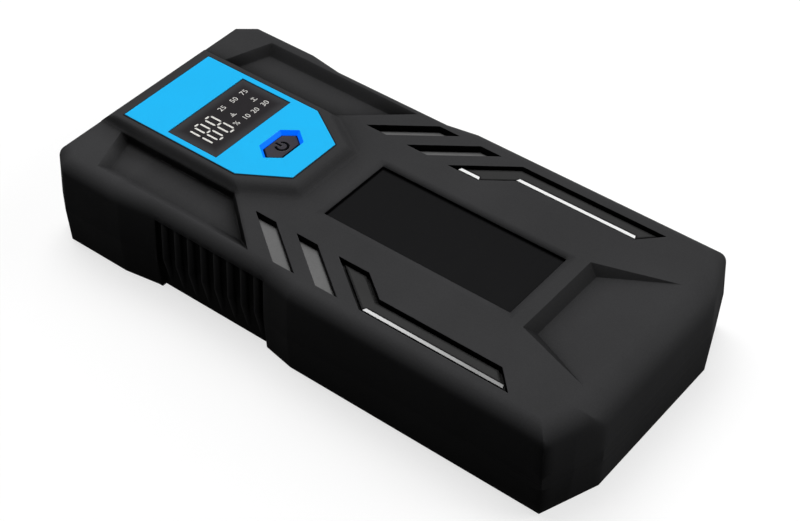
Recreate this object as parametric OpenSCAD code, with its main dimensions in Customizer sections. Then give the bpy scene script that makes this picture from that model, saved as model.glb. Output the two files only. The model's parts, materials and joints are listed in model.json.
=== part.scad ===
// Jump starter pack: a lithium engine starter with a display console, a sprung power key and a covered jump socket.
// The origin is the middle of the base. +X runs to the plain end, -X to the socket end, +Z is up, in millimetres.

/* [Case] */
// Length over the two ends
body_l = 180; // [170:1:195]
// Width over the parting line
body_w = 87; // [82:1:96]
// Height of the flat deck
deck_h = 29; // [27:0.5:32]
// Height of the parting line between the two shells
part_h = 12; // [11:0.5:14]
// Inset of the base edge under the parting line
base_in = 0.6; // [0.4:0.1:2]
// Chamfer round the base edge
base_edge = 0.4; // [0.3:0.1:1.2]
// Lean of the upper walls between the parting line and the deck
upper_in = 1; // [0.4:0.1:1.4]
// Radii of the shoulders over the sides, the plain end, its corners, the socket end and its corners
shoulders = [4.6, 8, 5.7, 2.3, 3.8]; // [1.5:0.1:9]
// Thickness of the side walls
wall = 2.4; // [2:0.1:2.6]
// Thickness of the end wall that holds the sockets
socket_wall = 4.5; // [4.3:0.1:5]
// Thickness of the floor
floor_t = 2.4; // [2:0.1:2.6]
// Thickness of the deck
deck_t = 4.5; // [4.3:0.1:4.8]
// Corner cut at the socket end, along the length and across
nose_cut = [6.5, 5.1]; // [4:0.1:8]
// Corner cut at the plain end, along the length and across
tail_cut = [6.7, 17.6]; // [4:0.1:20]

/* [Waist] */
// Distance from the socket end to the waist
waist_from_nose = 28.7; // [27:0.1:31]
// Length of the waist with its two slopes
waist_l = 62; // [60:1:64]
// Length of each slope into the waist
waist_slope = [11.5, 9.9]; // [8:0.5:12]
// Depth of the waist
waist_in = 1.8; // [1.2:0.1:2]
// Number of grip ribs on each side
rib_count = 8; // [6:1:8]
// Spacing of the grip ribs
rib_pitch = 4.85; // [4.2:0.05:4.9]
// Radius of each grip rib
rib_r = 1.2; // [0.9:0.1:1.3]
// Depth of the grip recess behind the ribs
rib_depth = 1.5; // [1:0.1:1.6]
// Height of the top of the ribs under the deck
rib_drop = 3.2; // [3:0.1:4.5]

/* [Console] */
// Rise of the console over the deck
console_rise = 2.3; // [1.8:0.1:2.6]
// Radius of the console's shoulder over the socket end
console_r = 6; // [5:0.5:8]
// Border of the console round the panel
console_border = 1.5; // [1.2:0.1:1.8]
// Width of the slope at the console's sides
console_side_run = 2.6; // [2:0.1:2.7]
// Width of the slope at the console's point
console_point_run = 5; // [4:0.5:6]
// Distance from the socket end to the panel
panel_from_nose = 7.7; // [7:0.1:9]
// Length of the panel
panel_l = 56.5; // [55:0.5:58]
// Width of the panel
panel_w = 35.6; // [35:0.2:36]
// Length of the panel's tapering point
panel_point = 13.8; // [12:0.2:15]
// Width of the flat at the panel's tip
panel_tip_w = 18.5; // [16:0.5:20]
// Thickness of the panel
panel_t = 1.4; // [1.2:0.1:1.5]
// Height of the panel's face over the console
panel_proud = 0.2; // [0.1:0.1:0.4]

/* [Display] */
// Distance from the panel's outer edge to the screen
screen_from_edge = 15.3; // [14.5:0.1:16]
// Size of the screen, along the length and across
screen = [18.7, 32]; // [15:0.1:33]
// Overlap of the roof under the screen's edge
screen_lap = 1.5; // [1.2:0.1:2]
// Thickness of the roof under the panel
roof_t = 1.4; // [1.2:0.1:1.6]
// Thickness of both circuit boards
board_t = 1.6; // [1.2:0.1:1.6]
// Radius of the posts that hold the display board
post_r = 1.8; // [1.6:0.1:2]
// Radius of the small screws' shanks
small_screw_r = 0.9; // [0.8:0.05:1]

/* [Power key] */
// Distance from the panel's outer edge to the key's middle
key_from_edge = 44.4; // [44:0.1:45]
// Length of the key over its points
key_l = 12.8; // [12:0.1:13.4]
// Length of the key's straight sides
key_side = 7.8; // [7:0.1:8.4]
// Width of the key
key_w = 6.6; // [6:0.1:7]
// Depth of the key's face under the panel's face
key_sunk = 1; // [0.8:0.1:1.2]
// Travel of the key
key_travel = 0.5; // [0.3:0.1:0.5]
// Width of the flange that keeps the key in
key_flange = 1; // [0.8:0.1:1.2]
// Gap round the key
key_gap = 0.25; // [0.2:0.05:0.3]
// Width of the sloping rim round the key
key_rim = 0.9; // [0.6:0.1:1.2]

/* [Side pockets] */
// Depth of the side pockets
pocket_depth = 2.2; // [1.6:0.1:2.4]
// Distance from the socket end to the side pockets
pocket_from_nose = 10.2; // [9:0.1:11]
// Distance from the centre line to the pockets' inner rim
pocket_inner = 22; // [22:0.1:22.6]
// Distance from the case's side to the pockets' outer rim
pocket_from_side = 6.3; // [5.8:0.1:7]
// Length of the inner rim
pocket_l = 43.8; // [42:0.5:45]
// Lean of the socket end of the pocket
pocket_lean = 5.5; // [4:0.5:7]
// Slant of the plain end of the pocket
pocket_slant = 18.4; // [17:0.2:19]
// Widths of the walls: inner, slanting, outer and leaning
pocket_runs = [0.5, 0.8, 3.3, 3]; // [0.4:0.1:4]

/* [End pocket] */
// Depth of the end pocket
end_depth = 2; // [1.5:0.1:2.3]
// Distance from the plain end to the pocket's deep side
end_from_tail = 33.1; // [32:0.1:35]
// Length of the pocket
end_l = 24.1; // [22:0.5:25]
// Width of the pocket at its deep side
end_w = 31; // [28:0.5:33]
// Width of the pocket at its tips
end_tip_w = 46.6; // [44:0.5:48]
// Width of the wall at the deep side
end_run = 3.4; // [2.5:0.1:4]

/* [Slots] */
// Distance from the socket end to the first slot
slot_from_nose = 63.5; // [62:0.1:65]
// Spacing of the slots
slot_pitch = 14.7; // [14:0.1:15]
// Distance of the slots' inner ends from the centre line
slot_inner = 24; // [24:0.1:24.6]
// Distance of the slots' outer ends from the case's side
slot_from_side = 7; // [6.5:0.1:8]
// Length of a slot along the deck
slot_w = 7.4; // [6.5:0.1:8]
// Slant of a slot
slot_slant = 17.1; // [16:0.1:18]
// Depth of the slots down to the inserts
slot_depth = 2.3; // [1.8:0.1:2.4]
// Thickness of the inserts
insert_t = 1; // [0.8:0.1:1.2]
// Gap round the inserts
insert_gap = 0.05; // [0.03:0.01:0.1]
// Length of the angled channel's short leg along the deck
channel_leg = 10.5; // [9.5:0.1:11]
// Width of the angled channel's long leg
channel_w = 6.3; // [6:0.1:6.6]
// Distance from the plain end to the channel's tip
channel_from_tail = 22.6; // [21:0.1:26]
// Gap round the raised bar in the channel
bar_gap = 1; // [0.8:0.05:1.2]
// Depth of the bar's face under the deck
bar_sunk = 0.7; // [0.5:0.1:1]
// Width of the bright edge strips
strip_w = 1.1; // [0.8:0.1:1.3]
// Thickness of the bright edge strips
strip_t = 0.8; // [0.6:0.1:1]

/* [Name plate] */
// Distance from the socket end to the plate
plate_from_nose = 78.7; // [77:0.1:80]
// Size of the plate, along the length and across
plate = [62.2, 25.4]; // [24:0.2:63]
// Depth of the plate's face under the deck
plate_sunk = 1.2; // [0.9:0.1:1.4]
// Thickness of the plate
plate_t = 1; // [0.8:0.1:1.2]
// Width and depth of the lead-in round the plate
plate_lead = [2, 0.5]; // [0.3:0.1:2.2]
// Gap round the flat inlays
inlay_gap = 0.15; // [0.1:0.05:0.2]

/* [Sockets] */
// Length and width of the jump socket
jump_size = [22, 24]; // [20:0.5:24]
// Height of the jump socket
jump_h = 12.6; // [12:0.1:12.8]
// Spacing of the two contacts
contact_pitch = 10.5; // [10:0.1:10.8]
// Bore radius of the contacts
contact_r = 2.55; // [2.5:0.01:2.6]
// Wall thickness of the contacts
contact_wall = 0.65; // [0.5:0.05:0.7]
// Depth of the contacts' bores
contact_l = 14; // [12:0.5:15]
// Overlap of the dust cover past the jump socket: at each side and below
cover_lap = [1.5, 2.6]; // [1.2:0.1:3]
// Thickness of the dust cover
cover_t = 2; // [1.8:0.1:2.1]
// Height of the deck over the cover's hinge
hinge_drop = 7.7; // [7.2:0.1:8]
// Radius of the hinge stubs
stub_r = 0.7; // [0.6:0.05:0.75]
// Length of the hinge stubs
stub_l = 1.1; // [0.8:0.1:1.2]
// Running clearance round the hinge stubs
stub_gap = 0.05; // [0.03:0.01:0.08]
// Gap round the dust cover
cover_gap = 0.3; // [0.2:0.05:0.35]
// Length and width of the double USB port
usb_size = [14, 13.2]; // [13:0.1:14.5]
// Clear height between the USB port and the ceiling
usb_head = 2.3; // [2:0.1:3]
// Size of one USB opening, across and up
usb_mouth = [12.5, 5.1]; // [5:0.05:12.6]
// Bore radius of the direct-current jacks
jack_r = 3.1; // [3:0.05:3.2]
// Radius of the jacks' centre pins
jack_pin_r = 1; // [0.8:0.05:1.2]
// Length and width of the jacks' bodies behind the wall
jack_size = [10, 8]; // [7.9:0.1:11]
// Radius of the torch lens
torch_r = 4.8; // [4.4:0.1:4.9]

/* [Inside] */
// Clearance between the main board and the jump socket over it
socket_clear = 0.6; // [0.5:0.1:0.8]
// Length of the main board
main_board_l = 63; // [60:1:66]
// Number of cells
cell_count = 3; // [3:1:3]
// Thickness of the foam pads under and over the cells
pad_t = 0.6; // [0.4:0.1:0.6]
// Radius of the power leads
lead_r = 2.3; // [2:0.1:2.3]
// Length and width of the power relay
relay_size = [28, 10.5]; // [10:0.5:30]
// Radius of the two capacitors
capacitor_r = 4.5; // [3.5:0.5:5]
// Radii of the inductor's ring and of its winding
inductor_r = [5.6, 2.1]; // [1.5:0.1:6.5]
// Length and width of the heat sink
heat_sink_size = [30, 6.5]; // [6:0.5:32]
// Number of fins on the heat sink
fin_count = 5; // [3:1:5]
// Radius of the case screws' shanks
screw_r = 1.45; // [1.3:0.05:1.5]
// Radius and height of the case screws' heads
screw_head = [2.7, 2]; // [1.8:0.1:2.8]

/* [Hidden] */
$fn = 64;

// Case
half_w = body_w / 2;
nose_x = -body_l / 2;
tail_x = body_l / 2;
ceiling_z = deck_h - deck_t;
cover_all = 2 * deck_h;
case_outline = [[nose_x, nose_cut.y - half_w], [nose_x + nose_cut.x, -half_w], [tail_x - tail_cut.x, -half_w],
    [tail_x, tail_cut.y - half_w], [tail_x, half_w - tail_cut.y], [tail_x - tail_cut.x, half_w],
    [nose_x + nose_cut.x, half_w], [nose_x, half_w - nose_cut.y]];
shoulder_order = [4, 0, 2, 1, 2, 0, 4, 3];
lean = atan(upper_in / (deck_h - part_h));
draft = atan(base_in / part_h);
upper_inset = wall + tan(lean) * (ceiling_z - part_h);
lower_inset = wall + base_in;
lip_h = 1.5;
lip_t = 1.2;
lip_root = 1;
fit_gap = 0.1;

// Waist
waist_x = nose_x + waist_from_nose;
waist_end = waist_x + waist_l;
waist_wall = half_w - waist_in;
grip_from = waist_x + waist_slope[0] + 0.9;
grip_to = grip_from + rib_count * rib_pitch + rib_pitch / 6;
first_rib = grip_from + rib_pitch / 2 + rib_r / 3;
rib_top = deck_h - rib_drop;
step_over = 2;

// Console, panel and display
console_top = deck_h + console_rise;
panel_x = nose_x + panel_from_nose;
panel_tip = panel_x + panel_l;
panel_outline = [[panel_x, -panel_w / 2], [panel_tip - panel_point, -panel_w / 2], [panel_tip, -panel_tip_w / 2],
    [panel_tip, panel_tip_w / 2], [panel_tip - panel_point, panel_w / 2], [panel_x, panel_w / 2]];
panel_face = console_top + panel_proud;
panel_seat = panel_face - panel_t;
roof_z = panel_seat - roof_t;
console_steps = 8;
screen_x = panel_x + screen_from_edge;
key_x = panel_x + key_from_edge;
key_outline = [[key_x - key_w / 2, -key_side / 2], [key_x, -key_l / 2], [key_x + key_w / 2, -key_side / 2],
    [key_x + key_w / 2, key_side / 2], [key_x, key_l / 2], [key_x - key_w / 2, key_side / 2]];
key_face = panel_face - key_sunk;
flange_top = roof_z - fit_gap;
flange_t = 1.1;
plunger_top = flange_top - flange_t;
plunger_r = 1.6;
switch_size = 6;
display_board_top = ceiling_z - fit_gap;
display_board_x = [panel_x + 3, panel_tip - 7];
display_board_w = 31;
display_posts = [for (x = [panel_x + 10, panel_x + 39], y = [-13, 13]) [x, y]];
header_x = display_board_x[1] - 3;
header_y = [-12, -2];

// Sunken shapes
pocket_outer = half_w - pocket_from_side;
slot_outer = half_w - slot_from_side;
slot_x = nose_x + slot_from_nose;
plate_x = nose_x + plate_from_nose;
side_pocket = [[nose_x + pocket_from_nose, pocket_inner], [nose_x + pocket_from_nose + pocket_l, pocket_inner],
    [nose_x + pocket_from_nose + pocket_l + pocket_slant, pocket_outer],
    [nose_x + pocket_from_nose + pocket_lean, pocket_outer]];
end_x = tail_x - end_from_tail;
channel_x = slot_x + 2 * slot_pitch;
channel_l = tail_x - channel_from_tail - channel_x - slot_slant;
slot_rake = slot_slant / (slot_outer - slot_inner);
channel_outline = [[channel_x, slot_inner], [channel_x + channel_leg, slot_inner],
    [channel_x + channel_leg + (slot_outer - slot_inner - channel_w) * slot_rake, slot_outer - channel_w],
    [channel_x + slot_slant + channel_l - channel_w, slot_outer - channel_w],
    [channel_x + slot_slant + channel_l, slot_outer], [channel_x + slot_slant, slot_outer]];
bar_outline = grow(channel_outline, -bar_gap);
insert_seat = deck_h - slot_depth - insert_t;
bar_top = deck_h - bar_sunk;
plate_outline = [[plate_x, -plate.y / 2], [plate_x + plate.x, -plate.y / 2], [plate_x + plate.x, plate.y / 2],
    [plate_x, plate.y / 2]];

// Sockets, spaced evenly across the socket end
hinge_z = deck_h - hinge_drop;
socket_z = hinge_z - cover_t / 2 - jump_h / 2 - 0.5;
cover_w = jump_size.y + 2 * cover_lap[0];
cover_h = hinge_z - socket_z + jump_h / 2 + cover_lap[1];
cover_x = nose_x + tan(lean) * (hinge_z + cover_t / 2 - part_h);
torch_w = 2 * (torch_r + fit_gap);
socket_gap = (body_w - 2 * nose_cut.y - torch_w - cover_w - 2 * cover_gap - usb_size.y - 2 * jack_size.y) / 6;
torch_y = half_w - nose_cut.y - socket_gap - torch_w / 2;
jump_y = torch_y - torch_w / 2 - socket_gap - cover_gap - cover_w / 2;
usb_y = jump_y - cover_w / 2 - cover_gap - socket_gap - usb_size.y / 2;
jack_y = [for (i = [0, 1]) usb_y - usb_size.y / 2 - (i + 1) * socket_gap - (i + 0.5) * jack_size.y];
jump_face = cover_x + cover_t + fit_gap;
contact_y = [jump_y + contact_pitch / 2, jump_y - contact_pitch / 2];
contact_out = contact_r + contact_wall;
contact_front = jump_face + 1.5;
contact_back = jump_face + jump_size.x;
main_board_z = socket_z - jump_h / 2 - socket_clear - board_t;
board_top = main_board_z + board_t;
usb_face = nose_x + 1.1;
usb_h = ceiling_z - usb_head - board_top;
usb_shell = 0.5;
usb_levels = [board_top + usb_h / 4, board_top + usb_h * 3 / 4];
usb_tongue = [11, 1.9];
jack_face = nose_x + 1.2;
jack_collar = jack_r + 0.8;
jack_z = board_top + jack_collar + 1.5;
jack_depth = 9.5;
torch_face = nose_x + 0.6;
torch_lens_t = 1.5;
torch_depth = 6;
torch_seat = 0.5;
lamp_size = [1.6, 8];

// Inside
boss_r = 3.2;
foot_r = 4;
boss_y = half_w - upper_inset - lip_t - boss_r - 2 * fit_gap;
tail_boss = 14;
boss_x = [waist_x - step_over - boss_r - 1.3, waist_end + step_over + boss_r + 1.3, tail_x - tail_boss];
screw_spots = [for (x = boss_x, s = [-1, 1]) [x, s * boss_y]];
screw_seat = 3;
cell_gap = 0.2;
rail = [1.2, 6];
board_back = 2.5;
board_x = nose_x + socket_wall + board_back;
board_half_w = boss_y - foot_r - 0.8;
board_holes = [for (x = [board_x + 12.5, board_x + main_board_l - 4], s = [-1, 1]) [x, s * (board_half_w - 3.5)]];
board_screw_r = 1.2;
board_screw_head = [2.2, 1.4];
board_bite = 1.8;
headroom = display_board_top - board_t - board_top;
bus_t = 1;
link_t = 0.4;
tab = [4.2, 6, 0.3];
tab_y = 14;
bus_x = board_x + main_board_l + fit_gap;
tab_x = bus_x + bus_t + 1 + link_t;
cell_x = tab_x + tab.x;
tail_room = 10;
cell_end = tail_x - tail_room;
cell_half_w = boss_y - boss_r - rail[0] - 2 * cell_gap;
cell_t = (ceiling_z - floor_t - 2 * pad_t) / cell_count - cell_gap;
cell_z = [for (i = [0:cell_count - 1]) floor_t + pad_t + i * (cell_t + cell_gap)];

function unit(v) = v / norm(v);
// Outward direction of the edge from a to b of an outline drawn counterclockwise
function outward(a, b) = let (d = unit(b - a)) [d.y, -d.x];
function cross2(a, b) = a.x * b.y - a.y * b.x;
// Outline with edge i moved outward by runs[i]
function move_edges(p, runs) = [for (i = [0:len(p) - 1])
    let (h = (i + len(p) - 1) % len(p), m = outward(p[h], p[i]), n = outward(p[i], p[(i + 1) % len(p)]))
    p[i] + [runs[h] * n.y - runs[i] * m.y, runs[i] * m.x - runs[h] * n.x] / cross2(m, n)];
function grow(p, d) = move_edges(p, [for (q = p) d]);
function lift(p, z) = [for (q = p) [q.x, q.y, z]];
function ease(t) = (1 - cos(180 * t)) / 2;
function mix(a, b, t) = a + (b - a) * t;
// Outline of slot i
function slot_outline(i) = let (x = slot_x + i * slot_pitch) [[x, slot_inner], [x + slot_w, slot_inner],
    [x + slot_w + slot_slant, slot_outer], [x + slot_slant, slot_outer]];

module both_sides() {
    children();
    mirror([0, 1, 0]) children();
}

// Solid through a stack of outlines that have the same number of points, lowest first
module loft(rings) {
    n = len(rings[0]);
    top = (len(rings) - 1) * n;
    polyhedron(
        points = [for (r = rings, p = r) p],
        faces = concat(
            [[for (i = [0:n - 1]) i]],
            [for (k = [0:len(rings) - 2], i = [0:n - 1]) let (j = (i + 1) % n)
                [k * n + i, (k + 1) * n + i, (k + 1) * n + j]],
            [for (k = [0:len(rings) - 2], i = [0:n - 1]) let (j = (i + 1) % n)
                [k * n + i, (k + 1) * n + j, k * n + j]],
            [[for (i = [n - 1:-1:0]) top + i]]
        )
    );
}

module block(from, to) {
    translate(from) cube(to - from);
}

// Cylinder along X from x0 to x1
module rod(x0, x1, y, z, r) {
    translate([x0, y, z]) rotate([0, 90, 0]) cylinder(h = x1 - x0, r = r);
}

// Cross-section inside one outer wall: widest at the parting line, leaning in above it to a round shoulder
module wall_profile(reach, top, r) {
    out = [cos(lean), sin(lean)];
    heel = base_in * (1 - base_edge / part_h);
    overlap = 0.005;
    difference() {
        polygon([[-body_l, 0], [reach - base_in - base_edge, 0], [reach - heel, base_edge], [reach, part_h],
            [reach - tan(lean) * (top - part_h), top], [-body_l, top]]);
        translate([reach - tan(lean) * (top - r - part_h) - r / out.x + overlap, top - r + overlap]) difference() {
            polygon(2 * r * [[0, 0], out, out + [0, 1], [0, 1]]);
            circle(r = r);
        }
    }
}

// Everything inside the wall that stands on the edge from a to b
module wall_slab(a, b, top, r) {
    n = outward(a, b);
    rotate([0, 0, atan2(n.y, n.x)]) rotate([90, 0, 0]) translate([0, 0, -body_l])
        linear_extrude(2 * body_l) wall_profile(n * a, top, r);
}

// Everything inside the waist of the -Y side
module waist_side() {
    path = [[waist_x, -half_w], [waist_x + waist_slope[0], -waist_wall], [waist_end - waist_slope[1], -waist_wall],
        [waist_end, -half_w]];
    for (i = [0:2]) wall_slab(path[i], path[i + 1], deck_h, shoulders[0]);
}

// Outer form of the case up to the deck
module case_form() {
    intersection() {
        intersection_for (i = [0:7]) wall_slab(case_outline[i], case_outline[(i + 1) % 8], deck_h,
            shoulders[shoulder_order[i]]);
        waist_side();
        mirror([0, 1, 0]) waist_side();
    }
}

// Raised console with its eased slopes down to the deck
module console_form() {
    past_end = 2 * panel_from_nose;
    side = console_border + console_side_run;
    point = console_border + console_point_run;
    top_runs = [for (i = [0:5]) i == 5 ? past_end : console_border];
    foot_runs = [side, point, point, point, side, past_end];
    foot_z = deck_h - 0.05;
    slope = [for (k = [0:console_steps]) let (t = k / console_steps)
        lift(move_edges(panel_outline, mix(foot_runs, top_runs, t)), mix(foot_z, console_top, ease(t)))];
    intersection() {
        loft(concat([lift(move_edges(panel_outline, foot_runs), deck_h - 1)], slope));
        wall_slab(case_outline[7], case_outline[0], console_top, console_r);
    }
}

// Ribs of the -Y side above the parting line, with round tops
module upper_ribs() {
    tall = rib_top - rib_r - part_h;
    for (i = [0:rib_count - 1]) translate([first_rib + i * rib_pitch, rib_r - waist_wall, part_h])
        rotate([-lean, 0, 0]) translate([0, 0, -1]) rotate_extrude() {
            square([rib_r, tall + 1]);
            translate([0, tall + 1]) intersection() {
                circle(r = rib_r);
                square(rib_r);
            }
        }
}

// Ribs of the -Y side below the parting line, leaning in until they run out at the base
module lower_ribs() {
    run_out = 0.4;
    slope = atan((base_in + rib_depth + run_out) / part_h);
    for (i = [0:rib_count - 1]) translate([first_rib + i * rib_pitch, rib_r - waist_wall, part_h])
        rotate([slope, 0, 0]) translate([0, 0, -2 * part_h]) cylinder(h = 2 * part_h + 1, r = rib_r);
}

// Recess behind the ribs of the -Y side
module grip_recess() {
    difference() {
        block([grip_from, -half_w - 1, -1], [grip_to, 0, rib_top - rib_r / 2]);
        wall_slab([grip_from, rib_depth - waist_wall], [grip_to, rib_depth - waist_wall], deck_h, shoulders[0]);
    }
}

// Case with the grip recesses, before it is hollowed and parted
module case_body() {
    difference() {
        case_form();
        both_sides() grip_recess();
    }
}

// Plan of the hollow, set in from the walls
module hollow_plan(inset) {
    difference() {
        polygon(move_edges(case_outline, [for (i = [0:7]) i == 7 ? -socket_wall : -inset]));
        both_sides() translate([waist_x - step_over, rib_depth + inset - waist_wall - half_w])
            square([waist_l + 2 * step_over, half_w]);
    }
}

// Plan of one ring of the joint's lip
module lip_plan(inset) {
    difference() {
        hollow_plan(inset);
        hollow_plan(inset + lip_t);
    }
}

// Openings for the sockets in the end wall
module socket_cuts() {
    through = nose_x + 2 * socket_wall;
    block([nose_x - 2, jump_y - cover_w / 2 - cover_gap, hinge_z - cover_h - cover_gap],
        [jump_face, jump_y + cover_w / 2 + cover_gap, hinge_z + cover_t / 2 + cover_gap]);
    block([nose_x, jump_y - jump_size.y / 2 - fit_gap, socket_z - jump_h / 2 - fit_gap],
        [through, jump_y + jump_size.y / 2 + fit_gap, socket_z + jump_h / 2 + fit_gap]);
    block([nose_x - 2, usb_y - usb_size.y / 2 - fit_gap, board_top - fit_gap],
        [through, usb_y + usb_size.y / 2 + fit_gap, board_top + usb_h + fit_gap]);
    for (y = jack_y) rod(nose_x - 2, through, y, jack_z, jack_collar + fit_gap);
    rod(nose_x - 2, torch_face + torch_lens_t, torch_y, socket_z, torch_r + fit_gap);
    rod(nose_x, through, torch_y, socket_z, torch_r - torch_seat);
}

// Sunken shapes of the deck, the panel's seat and the openings through the roof
module deck_cuts() {
    over = 0.1;
    rim = move_edges(side_pocket, pocket_runs * over / pocket_depth);
    both_sides() loft([lift(move_edges(side_pocket, -pocket_runs), deck_h - pocket_depth), lift(rim, deck_h + over),
        lift(rim, cover_all)]);
    end_pocket();
    both_sides() for (i = [0, 1]) translate([0, 0, insert_seat]) linear_extrude(cover_all) polygon(slot_outline(i));
    both_sides() translate([0, 0, insert_seat]) linear_extrude(cover_all) polygon(channel_outline);
    translate([0, 0, deck_h - plate_sunk - plate_t]) linear_extrude(cover_all) polygon(grow(plate_outline, inlay_gap));
    loft([lift(grow(plate_outline, inlay_gap), deck_h - plate_lead[1]), lift(grow(plate_outline, plate_lead[0]), deck_h),
        lift(grow(plate_outline, plate_lead[0]), cover_all)]);
    translate([0, 0, panel_seat]) linear_extrude(cover_all) polygon(grow(panel_outline, inlay_gap));
    block([screen_x + screen_lap, screen_lap - screen.y / 2, ceiling_z],
        [screen_x + screen.x - screen_lap, screen.y / 2 - screen_lap, cover_all]);
    translate([0, 0, ceiling_z]) linear_extrude(cover_all) polygon(grow(key_outline, key_gap));
}

// Pocket at the plain end: deep at its inner side, running out flush at its tips
module end_pocket() {
    over = 0.03;
    deep = [end_x + end_run, end_w / 2 - end_run * 0.6];
    tips = [end_x + end_l, end_tip_w / 2];
    rim = [[end_x, -end_w / 2], [tips.x, -tips.y - over], [tips.x, tips.y + over], [end_x, end_w / 2]];
    loft([[[deep.x, -deep.y, deck_h - end_depth], [tips.x, -tips.y, deck_h + over], [tips.x, tips.y, deck_h + over],
        [deep.x, deep.y, deck_h - end_depth]],
        [[rim[0].x, rim[0].y, deck_h], [rim[1].x, rim[1].y, deck_h + 2 * over], [rim[2].x, rim[2].y, deck_h + 2 * over],
        [rim[3].x, rim[3].y, deck_h]], lift(rim, cover_all)]);
}

module top_shell() {
    color("#3a3a3a") difference() {
        union() {
            difference() {
                intersection() {
                    union() {
                        case_body();
                        console_form();
                        both_sides() upper_ribs();
                    }
                    translate([0, 0, part_h]) linear_extrude(cover_all) square(2 * body_l, center = true);
                }
                translate([0, 0, part_h - 1]) linear_extrude(ceiling_z - part_h + 1) hollow_plan(upper_inset);
                translate([0, 0, ceiling_z - 1]) linear_extrude(roof_z - ceiling_z + 1) polygon(grow(panel_outline, -1.2));
                deck_cuts();
            }
            for (p = screw_spots) translate([p.x, p.y, part_h]) cylinder(h = ceiling_z - part_h + 1, r = boss_r);
            for (p = display_posts) translate([p.x, p.y, display_board_top])
                cylinder(h = roof_z - display_board_top + 0.5, r = post_r);
        }
        for (p = screw_spots) translate([p.x, p.y, part_h - 1]) cylinder(h = 9, r = screw_r + fit_gap / 2);
        for (p = display_posts) translate([p.x, p.y, display_board_top - 1])
            cylinder(h = 4, r = small_screw_r + fit_gap / 2);
        socket_cuts();
        for (s = [-1, 1]) translate([cover_x + cover_t / 2, jump_y + s * cover_w / 2, hinge_z]) rotate([-90 * s, 0, 0])
            cylinder(h = stub_l + cover_gap, r = stub_r + stub_gap);
    }
}

module bottom_shell() {
    color("#2c2c2c") difference() {
        union() {
            difference() {
                intersection() {
                    union() {
                        case_body();
                        both_sides() lower_ribs();
                    }
                    linear_extrude(part_h) square(2 * body_l, center = true);
                }
                translate([0, 0, floor_t]) linear_extrude(part_h) hollow_plan(lower_inset);
            }
            translate([0, 0, part_h - lip_root]) linear_extrude(lip_root + lip_h) lip_plan(upper_inset + fit_gap);
            translate([0, 0, part_h - lip_root]) linear_extrude(lip_root) lip_plan(lower_inset - fit_gap);
            for (p = screw_spots) translate([p.x, p.y, floor_t - 1]) {
                cylinder(h = part_h - floor_t + 1, r = boss_r);
                cylinder(h = screw_seat + 3 - floor_t, r = foot_r);
            }
            for (p = board_holes) translate([p.x, p.y, floor_t - 1]) cylinder(h = main_board_z - floor_t + 1, r = boss_r);
            cell_cradle();
        }
        for (p = screw_spots) translate([p.x, p.y, 0]) {
            translate([0, 0, -1]) cylinder(h = part_h + 4, r = screw_r + 0.15);
            translate([0, 0, -1]) cylinder(h = screw_seat + 1, r = screw_head[0] + 0.3);
        }
        for (p = board_holes) translate([p.x, p.y, main_board_z - board_bite - fit_gap])
            cylinder(h = board_bite + 1, r = board_screw_r + fit_gap / 2);
        socket_cuts();
    }
}

// Low rails that hold the cells in place on the floor
module cell_cradle() {
    both_sides() block([cell_x + 2, cell_half_w + cell_gap, floor_t - 1],
        [cell_end, cell_half_w + cell_gap + rail[0], floor_t + rail[1]]);
    block([cell_end + cell_gap, -cell_half_w / 2, floor_t - 1],
        [cell_end + cell_gap + rail[0], cell_half_w / 2, floor_t + rail[1]]);
}

module control_panel() {
    color("#24b8f4") difference() {
        translate([0, 0, panel_seat]) linear_extrude(panel_t) polygon(panel_outline);
        block([screen_x, -screen.y / 2, panel_seat - 1], [screen_x + screen.x, screen.y / 2, panel_face + 1]);
        loft([lift(grow(key_outline, key_gap), panel_seat - 1), lift(grow(key_outline, key_gap), panel_seat),
            lift(grow(key_outline, key_gap + key_rim), panel_face),
            lift(grow(key_outline, key_gap + key_rim), panel_face + 1)]);
    }
}

module screen_lens() {
    color("#3c3c3e") block([screen_x + fit_gap, fit_gap - screen.y / 2, panel_seat],
        [screen_x + screen.x - fit_gap, screen.y / 2 - fit_gap, panel_face - 0.15]);
}

module display_module() {
    side = screen_lap + 0.2;
    color("#e8e8e8") block([screen_x + side, side - screen.y / 2, display_board_top],
        [screen_x + screen.x - side, screen.y / 2 - side, panel_seat - fit_gap]);
}

module display_board() {
    color("#1c5c38") difference() {
        block([display_board_x[0], -display_board_w / 2, display_board_top - board_t],
            [display_board_x[1], display_board_w / 2, display_board_top]);
        for (p = display_posts) translate([p.x, p.y, display_board_top - 3]) cylinder(h = 4, r = small_screw_r + 0.2);
    }
}

module display_screws() {
    under = display_board_top - board_t;
    color("#9a9c9e") for (p = display_posts) translate([p.x, p.y, under]) {
        translate([0, 0, -1.2]) cylinder(h = 1.2, r = 2 * small_screw_r);
        cylinder(h = board_t + 2.5, r = small_screw_r);
    }
}

module display_header() {
    color("#202022") block([header_x, header_y[0], board_top], [header_x + 2.5, header_y[1], display_board_top - board_t]);
}

module key_switch() {
    body_top = plunger_top - 1;
    color("#2a2a2c") difference() {
        block([key_x - switch_size / 2, -switch_size / 2, display_board_top], [key_x + switch_size / 2, switch_size / 2, body_top]);
        translate([key_x, 0, body_top - 1.2]) cylinder(h = 2, r = plunger_r + 0.15);
    }
}

module switch_plunger() {
    color("#d8d8d4") translate([key_x, 0, plunger_top - 1.5]) cylinder(h = 1.5, r = plunger_r);
}

module power_key() {
    color("#3e3c3e") union() {
        translate([0, 0, plunger_top]) linear_extrude(flange_t) polygon(grow(key_outline, key_flange));
        translate([0, 0, plunger_top]) linear_extrude(key_face - plunger_top) polygon(key_outline);
    }
}

module name_plate() {
    color("#1c1d1f") translate([0, 0, deck_h - plate_sunk - plate_t]) linear_extrude(plate_t) polygon(plate_outline);
}

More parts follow.
